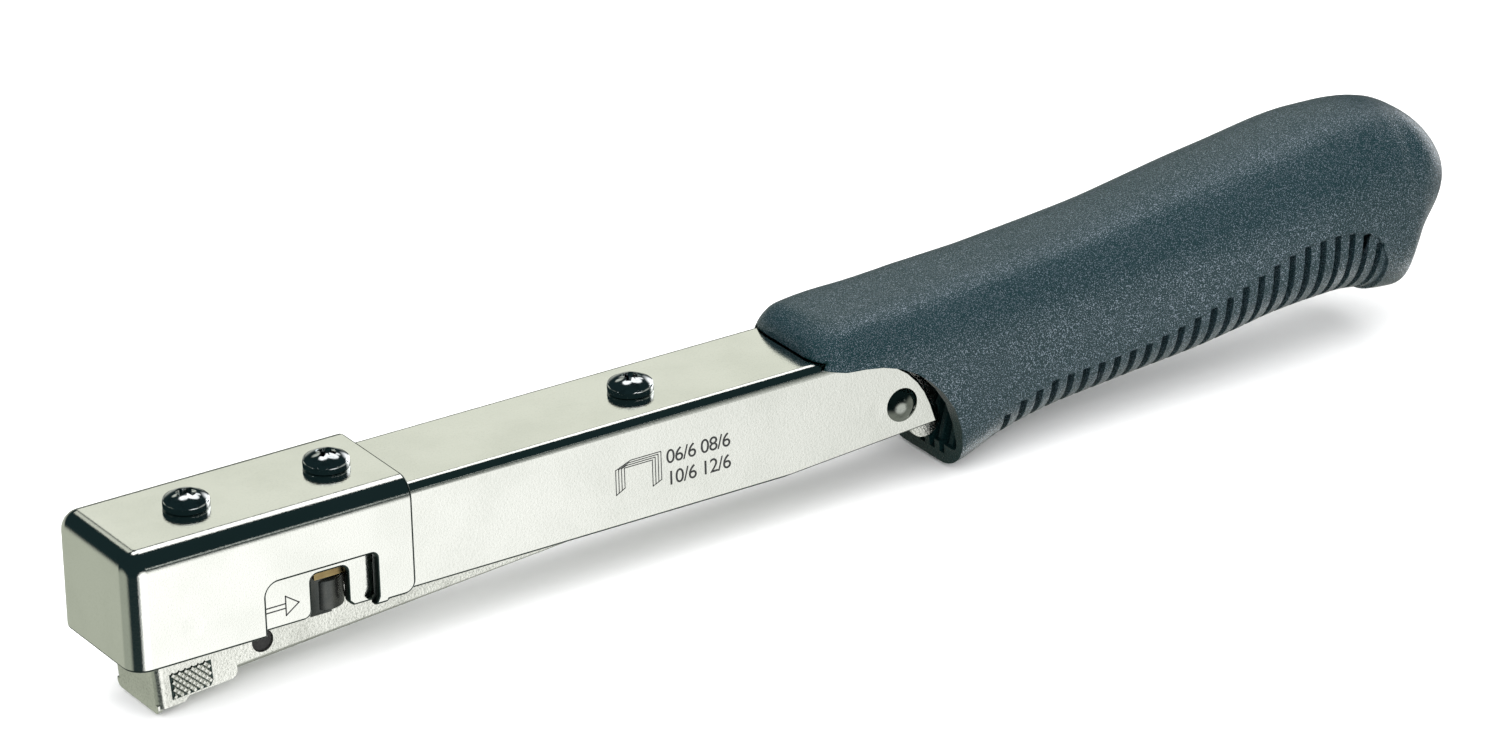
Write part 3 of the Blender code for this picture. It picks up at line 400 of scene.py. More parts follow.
class Bench:
    """One piece on the bench, and the moves that shape it."""

    def __init__(self, thing: bpy.types.Object) -> None:
        """Takes an object to work on."""
        self.thing = thing

    @staticmethod
    def clear() -> None:
        """Leaves edit mode and deselects everything."""
        if bpy.context.object and bpy.context.object.mode != "OBJECT":
            bpy.ops.object.mode_set(mode="OBJECT")
        bpy.ops.object.select_all(action="DESELECT")

    @classmethod
    def taken(cls, name: str) -> Bench:
        """Names the object that an operator has just added, and applies its place to its mesh."""
        thing = bpy.context.object
        thing.name = thing.data.name = name
        bpy.ops.object.transform_apply(location=True, rotation=True, scale=True)
        return cls(thing)

    @classmethod
    def block(cls, name: str, low: Triple, high: Triple) -> Bench:
        """Adds a block between two corners, given in millimetres."""
        cls.clear()
        centre = [(a + b) / 2 * MM for a, b in zip(low, high)]
        size = [(b - a) * MM for a, b in zip(low, high)]
        bpy.ops.mesh.primitive_cube_add(size=1.0, location=centre, scale=size)
        return cls.taken(name)

    @classmethod
    def drum(cls, name: str, start: Triple, end: Triple, radius: float, sides: int = 48) -> Bench:
        """Adds a cylinder between two points, given in millimetres."""
        cls.clear()
        start, end = Vector(start) * MM, Vector(end) * MM
        turn = (end - start).to_track_quat("Z", "Y").to_euler()
        bpy.ops.mesh.primitive_cylinder_add(
            vertices=sides,
            radius=radius * MM,
            depth=(end - start).length,
            location=(start + end) / 2,
            rotation=turn,
        )
        return cls.taken(name)

    @classmethod
    def ball(cls, name: str, centre: Triple, radius: float) -> Bench:
        """Adds a sphere, in millimetres."""
        cls.clear()
        centre = Vector(centre) * MM
        bpy.ops.mesh.primitive_uv_sphere_add(segments=48, ring_count=24, radius=radius * MM, location=centre)
        return cls.taken(name)

    @classmethod
    def punch(cls, name: str, centre: Triple, radius: float, depth: float, side: int) -> Bench:
        """Adds the tapered tool that presses a round dimple into the wall on one side, in millimetres."""
        cls.clear()
        bpy.ops.mesh.primitive_cone_add(
            vertices=48,
            radius1=(radius - 0.35) * MM,
            radius2=(radius + 0.35) * MM,
            depth=2 * depth * MM,
            location=Vector(centre) * MM,
            rotation=(math.radians(-90 * side), 0, 0),
        )
        return cls.taken(name)

    @classmethod
    def sheet(cls, name: str, outline: Sequence[Triple]) -> Bench:
        """Adds a disc and moves its rim to a closed outline, in millimetres."""
        cls.clear()
        bpy.ops.mesh.primitive_circle_add(vertices=len(outline), radius=MM, fill_type="NGON")
        made = cls.taken(name)
        for vertex, point in zip(made.thing.data.vertices, outline):
            vertex.co = Vector(point) * MM
        return made

    @classmethod
    def prism(cls, name: str, outline: Sequence[Point], low: float, high: float, along: str = "y") -> Bench:
        """Adds a prism.

        Args:
            name: The piece's name.
            outline: Points in x and z, or in y and z where it runs along x, or x and y along z.
            low: Where it starts, in millimetres.
            high: Where it ends, in millimetres.
            along: The axis it runs along.

        Returns:
            The new piece.
        """
        where = {
            "x": lambda a, b: (low, a, b),
            "y": lambda a, b: (a, low, b),
            "z": lambda a, b: (a, b, low),
        }[along]
        made = cls.sheet(name, [where(a, b) for a, b in outline])
        step = Vector({"x": (1, 0, 0), "y": (0, 1, 0), "z": (0, 0, 1)}[along]) * (high - low)
        made.pick(Pick.FACES, lambda face: True)
        made.extrude(step)
        made.face_outwards()
        return made

    @classmethod
    def joined(cls, name: str, pieces: Sequence[Bench]) -> Bench:
        """Joins several pieces into one object."""
        cls.clear()
        for piece in pieces:
            piece.thing.select_set(True)
        bpy.context.view_layer.objects.active = pieces[0].thing
        bpy.ops.object.join()
        return cls.taken(name)

    def copy(self, name: str, shift: Triple = (0.0, 0.0, 0.0)) -> Bench:
        """Copies the piece with a mesh of its own, moved by shift in millimetres."""
        twin = self.thing.copy()
        twin.data = self.thing.data.copy()
        twin.name = twin.data.name = name
        bpy.context.scene.collection.objects.link(twin)
        twin.data.transform(Matrix.Translation(Vector(shift) * MM))
        return Bench(twin)

    def activate(self) -> None:
        """Makes this the only selected object, and the active one."""
        self.clear()
        self.thing.select_set(True)
        bpy.context.view_layer.objects.active = self.thing

    def pick(self, kind: Pick, test: Callable[[object], bool]) -> None:
        """Enters edit mode and selects only what passes the test."""
        self.activate()
        bpy.ops.object.mode_set(mode="EDIT")
        bpy.ops.mesh.select_mode(type=kind.value)
        bpy.ops.mesh.select_all(action="DESELECT")
        mesh = bmesh.from_edit_mesh(self.thing.data)
        for item in mesh.faces if kind is Pick.FACES else mesh.edges:
            if test(item):
                item.select_set(True)
        bmesh.update_edit_mesh(self.thing.data)

    def done(self) -> None:
        """Leaves edit mode."""
        bpy.ops.object.mode_set(mode="OBJECT")

    def extrude(self, step: Vector) -> None:
        """Extrudes the picked faces by a step in millimetres."""
        bpy.ops.mesh.extrude_region_move(TRANSFORM_OT_translate={"value": Vector(step) * MM})

    def round_picked(self, radius: float, segments: int) -> None:
        """Rounds the picked edges, in millimetres, and leaves edit mode."""
        bpy.ops.mesh.bevel(offset=radius * MM, segments=segments, profile=0.5, affect="EDGES")
        self.done()

    def face_outwards(self) -> None:
        """Merges doubles, turns every face outwards and leaves edit mode."""
        bpy.ops.mesh.select_all(action="SELECT")
        bpy.ops.mesh.remove_doubles(threshold=1e-7)
        bpy.ops.mesh.normals_make_consistent(inside=False)
        self.done()

    def apply(self, kind: str, **settings: object) -> None:
        """Adds a modifier with these settings and applies it."""
        self.activate()
        step = self.thing.modifiers.new(kind, kind)
        for key, setting in settings.items():
            setattr(step, key, setting)
        bpy.ops.object.modifier_apply(modifier=step.name)

    def cut(self, *tools: Bench, how: str = "DIFFERENCE") -> Bench:
        """Cuts with other pieces, or joins or intersects with them, and uses them up."""
        for tool in tools:
            self.apply("BOOLEAN", operation=how, solver="EXACT", object=tool.thing)
            bpy.data.objects.remove(tool.thing)
        return self

    def soften(
        self, width: float, segments: int = 2, angle: float = 40.0, edge: int = -1, clamp: bool = True
    ) -> Bench:
        """Breaks every sharp edge by a width in millimetres.

        Args:
            width: The width of the broken edge.
            segments: How many faces it has across.
            angle: The edges sharper than this, in degrees, are broken.
            edge: The material index of the new faces, where it isn't their neighbours'.
            clamp: Whether the width is held back where edges are close.

        Returns:
            The piece.
        """
        slots = self.thing.data.materials
        while len(slots) <= edge:
            slots.append(None)
        settings = {"limit_method": "ANGLE", "angle_limit": math.radians(angle), "use_clamp_overlap": clamp}
        self.apply("BEVEL", width=width * MM, segments=segments, material=edge, **settings)
        return self

    def mark_cut(self, test: Callable[[object], bool]) -> Bench:
        """Gives the second material to the faces that pass a test."""
        # The second material, where a piece has one, is a darker finish: painted shade on these faces.
        for face in self.thing.data.polygons:
            if test(face):
                face.material_index = 1
        return self

    def smooth(self, angle: float = 40.0, weighted: bool = True) -> Bench:
        """Shades round parts smooth and keeps flat parts flat."""
        self.activate()
        bpy.ops.object.shade_smooth_by_angle(angle=math.radians(angle))
        if weighted:
            self.apply("WEIGHTED_NORMAL", keep_sharp=True, weight=80)
        return self

    def seat(self, matrix: Matrix) -> Bench:
        """Moves the mesh to its place in the model, with the object left at the origin."""
        self.thing.data.transform(matrix)
        self.thing.data.update()
        return self

    def dress(
        self,
        paint: Paintbox,
        finish: str,
        body: Body,
        slot: str = "",
        stands_for: Sequence[str] = (),
        edge: str = "",
    ) -> None:
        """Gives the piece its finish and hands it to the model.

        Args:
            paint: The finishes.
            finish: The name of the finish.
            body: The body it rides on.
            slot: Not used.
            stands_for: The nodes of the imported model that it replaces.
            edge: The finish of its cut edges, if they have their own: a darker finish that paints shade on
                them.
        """
        marks = [face.material_index for face in self.thing.data.polygons]
        slots = self.thing.data.materials
        slots.clear()
        slots.append(paint[finish])
        if edge:
            slots.append(paint[edge])
            self.thing.data.polygons.foreach_set("material_index", marks)
        if stands_for:
            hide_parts(*stands_for)
        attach(self.thing, body.value)
        log.info("piece %s: %s, %d faces", self.thing.name, finish, len(self.thing.data.polygons))


def arc(centre: Point, radius: float, start: float, end: float, steps: int) -> list[Point]:
    """Returns points on an arc, in degrees from the outline's first axis."""
    points = []
    for step in range(steps + 1):
        angle = math.radians(start + (end - start) * step / steps)
        points.append((centre[0] + radius * math.cos(angle), centre[1] + radius * math.sin(angle)))
    return points


# ------------------------------------------------------------------------------------ sub-assemblies


@dataclass
class Cap:
    """The drawn steel cap over the head, with its two windows."""

    stance: Stance
    length: float = 53.6
    half: float = 12.8
    top: float = 21.0
    sheet: float = 1.8
    bend: float = 3.6
    window: tuple[float, float, float] = (25.3, 46.2, 9.5)
    dimple: Triple = (11.6, 5.9, 2.4)

    def cup(self, name: str, inset: float, rear: float, low: float) -> Bench:
        """Adds a block whose top and front edges are rounded into each other."""
        top, half = self.top - inset, self.half - inset
        made = Bench.block(name, (inset, -half, low), (rear, half, top))
        eps = 1e-5

        def is_bend(edge: bmesh.types.BMEdge) -> bool:
            a, b = edge.verts[0].co, edge.verts[1].co
            front = max(a.x, b.x) < inset * MM + eps
            high = min(a.z, b.z) > top * MM - eps
            bottom = max(a.z, b.z) < low * MM + eps
            across_rear = high and not front and abs(a.x - b.x) < eps
            return (front and not bottom) or (high and not across_rear)

        made.pick(Pick.EDGES, is_bend)
        made.round_picked(max(self.bend - inset, 0.6), 8)
        return made

    def window_outline(self) -> list[Point]:
        """Returns the window from the side, in x and z."""
        front, rear, top = self.window
        points = [(front, -1.0), (rear - 1.2, -1.0)]
        points += [(rear, 1.6)] + arc((rear - 0.9, top - 0.9), 0.9, 0, 90, 5)
        return points + arc((front + 2.4, top - 2.4), 2.4, 90, 180, 8)

    def corner_outline(self) -> list[Point]:
        """Returns what is cut from the rear lower corner."""
        radius, end = 2.2, self.length
        points = arc((end - radius, radius + 0.4), radius, -90, 0, 7)
        return points + [
            (end + 1, radius + 0.4),
            (end + 1, -1.0),
            (self.window[1] + 1.4, -1.0),
            (self.window[1] + 2.2, 0.4),
        ]

    def build(self, paint: Paintbox) -> None:
        """Makes the cap."""
        cap = self.cup("cap_shell", 0.0, self.length, 0.0)
        cap.cut(self.cup("hollow", self.sheet, self.length + 5, -5.0))
        reach = self.half + 2
        cap.cut(Bench.prism("window", self.window_outline(), -reach, reach))
        cap.cut(Bench.prism("corner", self.corner_outline(), -reach, reach))
        for side in (-1, 1):
            x, z, radius = self.dimple
            cap.cut(Bench.punch("dimple", (x, side * self.half, z), radius, 0.2, side))
        inner, sill = (self.half - self.sheet + 0.02) * MM, (self.top - self.bend) * MM
        rear_wall, behind = (self.length - 3.0) * MM, (self.bend + 1.0) * MM

        # The faces picked here and the broken edges take the dark edge finish: painted shadow lines along the
        # cap's cut edges.
        def is_cut(face: bpy.types.MeshPolygon) -> bool:
            x, y, z = face.center
            upright = abs(face.normal.y) < 0.15 and abs(y) > inner and x > behind and z < sill + 0.001
            return upright or face.normal.z < -0.9 and z < 0.001 or face.normal.x > 0.9 and x > rear_wall

        cap.mark_cut(is_cut).soften(0.5, 3, edge=1, clamp=False).smooth()
        seated = cap.seat(self.stance.tool())
        seated.dress(paint, "nickel", Body.TOOL, stands_for=["head_cap"], edge="painted_shade_steel")


@dataclass
class Frame:
    """The channel that carries everything, with its notch, dimple and markings."""

    stance: Stance
    half: float = 10.7
    top: float = 18.9
    sheet: float = 1.5
    front: float = 3.8
    tang_end: float = 236.0
    tang_half: float = 7.5
    notch: tuple[float, float, float] = (34.9, 41.7, 7.7)
    dimple: Triple = (146.8, 7.6, 1.9)
    proud: float = 0.03

    def long_block(self, name: str, low: Triple, high: Triple, bend: float) -> Bench:
        """Adds a block whose two long top edges are rounded."""
        made = Bench.block(name, low, high)
        top = high[2] * MM - 1e-5

        def is_top(edge: bmesh.types.BMEdge) -> bool:
            a, b = edge.verts[0].co, edge.verts[1].co
            return min(a.z, b.z) > top and abs(a.y - b.y) < 1e-5

        made.pick(Pick.EDGES, is_top)
        made.round_picked(bend, 6)
        return made

    def notch_outline(self) -> list[Point]:
        """Returns the notch that the catch stands in, with its rounded lower front corner."""
        front, rear, top = self.notch
        points = [(front - 1.6, -1.0), (rear + 1.0, -1.0), (rear + 1.0, 0.0), (rear, 1.0)]
        points += arc((rear - 1.2, top - 1.2), 1.2, 0, 90, 5) + arc((front + 1.2, top - 1.2), 1.2, 90, 180, 5)
        return points + arc((front - 1.6, 1.6), 1.6, 0, -90, 5)[:-1]

    def cheek_outline(self) -> list[Point]:
        """Returns what is cut away behind the head: all but two rounded cheeks."""
        points = [(141.0, 25.0), (141.0, 17.2), (143.5, 17.0), (146.4, 16.3), (149.2, 15.5), (151.4, 14.6)]
        points += [(153.6, 13.0), (155.6, 10.8), (157.0, 8.6), (158.4, 5.4), (159.4, 2.2)]
        return points + [(127.0, 0.0), (127.0, -5.0), (240.0, -5.0), (240.0, 25.0)]

    def build(self, paint: Paintbox) -> None:
        """Makes the channel and its markings."""
        made = self.long_block(
            "frame_shell", (self.front, -self.half, 0), (self.tang_end, self.half, self.top), 1.8
        )
        inner, ceiling = self.half - self.sheet, self.top - self.sheet
        made.cut(self.long_block("hollow", (-5, -inner, -5), (250, inner, ceiling), 0.6))
        reach = self.half + 5
        for side in (-1, 1):
            low, high = sorted((side * self.tang_half, side * reach))
            made.cut(Bench.prism("cheek", self.cheek_outline(), low, high))
        made.cut(Bench.prism("notch", self.notch_outline(), -reach, reach))
        for side in (-1, 1):
            x, z, radius = self.dimple
            made.cut(Bench.punch("dimple", (x, side * self.half, z), radius, 0.12, side))
        wall = (inner + 0.02) * MM

        # The faces picked here and the broken edges take the dark edge finish: painted shadow lines along the
        # frame's cut edges.
        def is_cut(face: bpy.types.MeshPolygon) -> bool:
            x, y, z = face.center
            return abs(y) > wall and abs(face.normal.y) < 0.15 and z < (self.top - 1.9) * MM

        made.mark_cut(is_cut).soften(0.45, 3, edge=1, clamp=False).smooth()
        seated = made.seat(self.stance.tool())
        seated.dress(paint, "nickel", Body.TOOL, stands_for=["frame_channel"], edge="painted_shade_steel")
        self.build_arrow(paint)
        self.build_size_marks(paint)

    def stroke(self, start: Point, end: Point, width: float = 0.2) -> Bench:
        """Adds one straight stroke of a marking on the near side."""
        along = Vector(end) - Vector(start)
        across = Vector((-along.y, along.x)).normalized() * width / 2
        tip = along.normalized() * width / 2
        corners = [Vector(start) - tip - across, Vector(end) + tip - across]
        corners += [Vector(end) + tip + across, Vector(start) - tip + across]
        outline = [(point.x, point.y) for point in corners]
        return Bench.prism("stroke", outline, -self.half - self.proud, -self.half + 0.05)

    def build_arrow(self, paint: Paintbox) -> None:
        """Makes the outlined arrow that shows which way the catch is pulled."""
        tail, neck, tip, z, head, shaft = 25.0, 29.9, 32.4, 3.7, 1.75, 0.42
        lines = [((tail, z + shaft), (neck, z + shaft)), ((tail, z - shaft), (neck, z - shaft))]
        lines += [
            ((neck, z + head), (neck, z - head)),
            ((neck, z + head), (tip, z)),
            ((neck, z - head), (tip, z)),
        ]
        arrow = Bench.joined("arrow_mark", [self.stroke(*line, width=0.22) for line in lines])
        arrow.seat(self.stance.tool()).dress(paint, "marking", Body.TOOL, slot="black_steel")

    def build_size_marks(self, paint: Paintbox) -> None:
        """Makes a staple-strip sign and generic leg lengths in millimetres beside it."""
        strokes = []
        for step in range(4):
            left, right, top = 95.85 - 0.58 * step, 101.4 + 0.58 * step, 10.62 + 0.38 * step
            foot_left, foot_right = 6.9 - 0.3 * step, 5.75 + 0.25 * step
            shoulder = left + 1.0 * step
            strokes.append(self.stroke((left, foot_left), (left, 10.62), 0.15))
            strokes.append(self.stroke((left, 10.62), (shoulder, top), 0.15))
            strokes.append(self.stroke((shoulder, top), (right, top), 0.15))
            strokes.append(self.stroke((right, top), (right, foot_right), 0.15))
        strokes.append(self.stroke((95.85, 6.9), (94.11, 6.0), 0.15))
        strokes.append(self.stroke((101.4, 5.75), (103.14, 6.5), 0.15))
        sign = Bench.joined("staple_sign", strokes)
        sign.seat(self.stance.tool()).dress(paint, "marking", Body.TOOL, slot="black_steel")
        for name, words, z in (("upper", "06/6 08/6", 9.1), ("lower", "10/6 12/6", 5.05)):
            Bench.clear()
            bpy.ops.object.text_add(location=(0, 0, 0))
            text = bpy.context.object
            text.data.body = words
            text.data.size = 3.7 * MM
            text.data.space_character = 0.92
            text.data.extrude = 0.04 * MM
            bpy.ops.object.convert(target="MESH")
            marks = Bench.taken(f"leg_lengths_{name}")
            upright = Matrix.Rotation(math.radians(90), 4, "X")
            marks.seat(Matrix.Translation((104.1 * MM, -self.half * MM, z * MM)) @ upright)
            marks.seat(self.stance.tool()).dress(paint, "marking", Body.TOOL, slot="black_steel")


@dataclass
class Screws:
    """Pan-head screws with a cross recess, and the domed hinge rivet."""

    stance: Stance
    radius: float = 4.0
    height: float = 2.9
    dome: float = 6.4
    seats: dict[str, tuple[float, float, float]] = field(
        default_factory=lambda: {
            "cap_screw_front": (18.2, 21.0, 10.6),
            "cap_screw_rear": (44.7, 21.0, 13.8),
            "buffer_screw": (104.0, 18.9, 12.5),
        }
    )

    def head(self) -> Bench:
        """Returns one head whose seat is at z = 0."""
        made = Bench.drum("head", (0, 0, 0), (0, 0, self.height + 1), self.radius, 64)
        made.pick(Pick.EDGES, lambda edge: max(v.co.z for v in edge.verts) < 0.01 * MM)
        made.round_picked(0.3, 3)
        made.cut(Bench.ball("dome", (0, 0, self.height - self.dome), self.dome), how="INTERSECT")
        rim = self.height - self.dome + math.sqrt(self.dome**2 - self.radius**2)
        made.pick(
            Pick.EDGES,
            lambda edge: all(
                abs(v.co.z - rim * MM) < 4e-5 and v.co.xy.length > 3.95 * MM for v in edge.verts
            ),
        )
        made.round_picked(0.45, 4)
        deep = self.height - 1.7
        for turn in (0, 90):
            made.cut(self.flute(2.25, 0.52, 0.30, deep, turn))
        made.cut(Bench.drum("well", (0, 0, deep), (0, 0, self.height + 1), 1.05, 24))
        for turn in (45, 135):
            made.cut(self.flute(2.3, 0.10, 0.10, self.height - 0.35, turn))
        return made.soften(0.05, 1, 50)

    def flute(self, reach: float, width: float, foot: float, deep: float, turn: float) -> Bench:
        """Returns a tapered bar that cuts one line of the recess."""
        made = Bench.block("flute", (-reach, -width, deep), (reach, width, self.height + 0.5))
        made.pick(Pick.FACES, lambda face: face.normal.z < -0.5)
        bpy.ops.transform.resize(value=(0.55, foot / width, 1.0))
        made.done()
        made.thing.data.transform(Matrix.Rotation(math.radians(turn + 20), 4, "Z"))
        return made

    def build(self, paint: Paintbox) -> None:
        """Makes the three screws and the rivet."""
        head = self.head()
        for index, (name, (x, seat, tip)) in enumerate(self.seats.items()):
            screw = head.copy(f"{name}_head", (0, 0, 0))
            screw.thing.data.transform(Matrix.Rotation(math.radians((0, 18, 31)[index]), 4, "Z"))
            screw.thing.data.transform(Matrix.Translation(Vector((x, 0, seat + 0.02)) * MM))
            shank = Bench.drum("shank", (x, 0, tip), (x, 0, seat + 0.5), 1.95, 32)
            shank.pick(Pick.EDGES, lambda edge: max(v.co.z for v in edge.verts) < (tip + 0.01) * MM)
            shank.round_picked(0.5, 2)
            screw.cut(shank, how="UNION").smooth(35)
            screw.seat(self.stance.tool()).dress(paint, "polished", Body.TOOL, stands_for=[name])
        bpy.data.objects.remove(head.thing)
        self.build_rivet(paint)

    def build_rivet(self, paint: Paintbox) -> None:
        """Makes the hinge rivet with a dome on each side."""
        x, z = 152.0, 7.2
        seat, radius, dome = 10.75, 3.1, 1.35
        rivet = Bench.drum("hinge_rivet", (x, -seat - 0.1, z), (x, seat + 0.1, z), 2.2, 48)
        for side in (-1, 1):
            low, high = sorted((side * seat, side * (seat + dome + 1)))
            cap = Bench.drum("dome", (x, low, z), (x, high, z), radius, 64)
            ball = (radius * radius + dome * dome) / (2 * dome)
            cap.cut(Bench.ball("ball", (x, side * (seat + dome - ball), z), ball), how="INTERSECT")
            rivet.cut(cap, how="UNION")
        rivet.smooth(50)
        seated = rivet.seat(self.stance.tool())
        seated.dress(paint, "rivet_steel", Body.TOOL, slot="polished", stands_for=["pivot_rivet"])


@dataclass
class Catch:
    """The sliding catch with its curled, dark thumb tabs."""

    stance: Stance
    front: float = 35.7
    rear: float = 39.7
    tab_rear: float = 43.3
    leg: tuple[float, float] = (7.2, 8.4)
    plate: tuple[float, float] = (10.9, 12.1)

    def tab(self, side: int) -> Bench:
        """Returns one curled tab: the outer part of a barrel with a rounded lip above."""
        radius = 3.85
        centre, depth = self.tab_rear - radius + 0.1, 9.08 - radius
        made = Bench.drum("tab", (centre, side * depth, -0.35), (centre, side * depth, 5.3), radius, 64)
        made.pick(Pick.EDGES, lambda edge: min(v.co.z for v in edge.verts) > 5.29 * MM)
        made.round_picked(0.45, 4)
        made.pick(Pick.EDGES, lambda edge: max(v.co.z for v in edge.verts) < -0.34 * MM)
        made.round_picked(0.2, 2)
        low, high = sorted((side * 6.85, side * 12.0))
        keep = Bench.block("keep", (self.front, low, -2.0), (self.tab_rear, high, 8.0))
        return made.cut(keep, how="INTERSECT")

    def build(self, paint: Paintbox) -> None:
        """Makes the catch."""
        inner, outer = self.leg
        low, high = self.plate
        catch = Bench.block("catch_slide_plate", (self.front, -outer, low), (self.rear, outer, high))
        catch.cut(
            Bench.block("wall", (self.rear - 1.2, -2.6, low + 0.2), (self.rear, 2.6, 13.6)), how="UNION"
        )
        for side in (-1, 1):
            a, b = sorted((side * inner, side * outer))
            catch.cut(Bench.block("leg", (self.front, a, -1.0), (self.rear, b, low + 0.6)), how="UNION")
            catch.cut(self.tab(side), how="UNION")
        catch.soften(0.1, 2).smooth()
        catch.seat(self.stance.tool()).dress(paint, "black_steel", Body.CATCH, stands_for=["catch"])
        for side, name in ((-1, "near"), (1, "far")):
            slope = [(side * 8.43, 5.75), (side * 9.0, 5.75), (side * 8.6, 9.0), (side * 8.43, 9.3)]
            lining = Bench.prism(
                f"catch_lining_{name}", slope, self.front + 0.7, self.tab_rear - 0.6, along="x"
            )
            lining.soften(0.08, 2).smooth()
            lining.seat(self.stance.tool()).dress(paint, "zinc_yellow", Body.CATCH)


@dataclass
class Magazine:
    """The hinged staple channel and its nose, drawn from the hinge with the nose at low x."""

    stance: Stance
    front: float = 142.9
    half: float = 6.4
    sheet: float = 0.8
    bottom: float = -4.2
    top: float = 1.6
    ear: Triple = (1.5, -1.0, 8.3)
    tail: float = 3.2
    hole: Triple = (125.0, -0.7, 2.0)
    nose_front: float = 145.9
    nose_rear: float = 130.8
    nose_half: float = 7.5

    def wall_outline(self) -> list[Point]:
        """Returns the channel from the side."""
        x, z, radius = self.ear
        points = [(-self.front, self.top), (-self.front, self.bottom), (3.2, self.bottom - 0.3)]
        points += arc((6.9, -7.0), self.tail, 165, 380, 22)
        return points + arc((x, z), radius, -22, 60, 16) + [(-12.0, self.top)]

    def build_channel(self, paint: Paintbox) -> None:
        """Makes the long channel with its round rear ears."""
        made = Bench.prism("magazine_shell", self.wall_outline(), -self.half, self.half)

        def is_bottom(edge: bmesh.types.BMEdge) -> bool:
            a, b = edge.verts[0].co, edge.verts[1].co
            long = abs(a.x - b.x) > 100 * MM
            return long and max(a.z, b.z) < (self.bottom + 0.01) * MM

        made.pick(Pick.EDGES, is_bottom)
        made.round_picked(1.1, 5)
        inner, floor = self.half - self.sheet, self.bottom + self.sheet
        made.cut(Bench.block("hollow", (-160, -inner, floor), (-10, inner, 20)))
        made.cut(Bench.block("gap", (-10.4, -inner, -20), (20, inner, 20)))
        made.cut(Bench.drum("pivot", (0, -20, 0), (0, 20, 0), 2.5))
        x, z, radius = self.hole
        made.cut(Bench.drum("peep", (-x, -20, z), (-x, 20, z), radius))
        # The broken edges take the dark edge finish: painted shadow lines along the channel's edges.
        made.soften(0.1, 2, edge=1).smooth()
        seated = made.seat(self.stance.magazine())
        seated.dress(
            paint,
            "nickel_coarse",
            Body.MAGAZINE,
            slot="nickel",
            stands_for=["magazine_channel"],
            edge="painted_shade_steel",
        )
        # A dark disc a little inside each wall of the peep hole: painted shade in the hole.
        for side, label in ((-1, "near"), (1, "far")):
            low, high = sorted((side * (self.half - 0.75), side * (self.half - 0.45)))
            shade_disc = Bench.drum(f"peep_painted_shade_{label}", (-x, low, z), (-x, high, z), radius - 0.03, 40)
            shade_disc.soften(0.05, 1).seat(self.stance.magazine())
            shade_disc.dress(paint, "buffer_black", Body.MAGAZINE)

    def nose_outline(self) -> list[Point]:
        """Returns the nose from the side."""
        tip, low, top = 141.0, -4.8, 2.6
        points = [(-self.nose_front, -5.6), (-tip, -5.6), (-tip + 0.9, low)]
        points += arc((-self.nose_rear - 1.4, low + 1.4), 1.4, -90, 0, 6)
        points += arc((-self.nose_rear - 1.4, top - 1.4), 1.4, 0, 90, 6)
        return points + [(-143.6, top), (-143.9, 8.0), (-self.nose_front, 8.0)]

    def nose_form(self, name: str, inset: float) -> Bench:
        """Adds the block that the nose is bent round, with rounded front corners."""
        front, half = -self.nose_front + inset, self.nose_half - inset
        made = Bench.block(
            name,
            (front, -half, -20 if inset else -10),
            (0 if inset else -self.nose_rear + 1, half, 20),
        )

        def is_corner(edge: bmesh.types.BMEdge) -> bool:
            a, b = edge.verts[0].co, edge.verts[1].co
            return max(a.x, b.x) < front * MM + 1e-5 and abs(a.y - b.y) < 1e-5

        made.pick(Pick.EDGES, is_corner)
        made.round_picked(1.5 - inset, 6)
        return made

    def build_nose(self, paint: Paintbox) -> None:
        """Makes the nose: a bent plate that wraps the front of the channel, with a round tongue below."""
        nose = self.nose_form("nose_shell", 0.0)
        nose.cut(Bench.prism("side", self.nose_outline(), -20, 20), how="INTERSECT")
        reach = self.nose_half - 0.5
        tongue = [(-reach, -5.0)] + arc((-reach + 1.0, -5.7), 1.0, 180, 270, 8)
        tongue += arc((reach - 1.0, -5.7), 1.0, 270, 360, 8) + [(reach, -5.0)]
        nose.cut(
            Bench.prism("tongue", tongue, -self.nose_front, -self.nose_front + 0.8, along="x"), how="UNION"
        )
        nose.cut(self.nose_form("hollow", 0.8))
        # The broken edges take the dark edge finish: painted shadow lines along the nose's edges.
        nose.soften(0.1, 2, edge=1).smooth()
        seated = nose.seat(self.stance.magazine())
        seated.dress(
            paint,
            "nickel_coarse",
            Body.MAGAZINE,
            slot="nickel",
            stands_for=["nose_piece"],
            edge="painted_shade_steel",
        )
        self.build_knurl(paint)

    def build_knurl(self, paint: Paintbox) -> None:
        """Makes the raised diamonds on both sides of the nose, for the fingers."""
        Bench.clear()
        bpy.ops.mesh.primitive_cone_add(vertices=4, radius1=0.58 * MM, radius2=0.34 * MM, depth=0.26 * MM)
        pip = Bench.taken("pip")
        pips, shade_patches = [], []
        for side, label in ((-1, "near"), (1, "far")):
            turn = Matrix.Rotation(math.radians(-90 * side), 4, "X")
            for row in range(7):
                for column in range(6):
                    x = -142.7 + column * 1.22 + (0.61 if row % 2 else 0.0)
                    z = -4.05 + row * 0.66
                    twin = pip.copy("pip")
                    twin.thing.data.transform(turn)
                    twin.thing.data.transform(
                        Matrix.Translation(Vector((x, side * (self.nose_half + 0.14), z)) * MM)
                    )
                    pips.append(twin)
            low, high = sorted((side * (self.nose_half - 0.1), side * (self.nose_half + 0.015)))
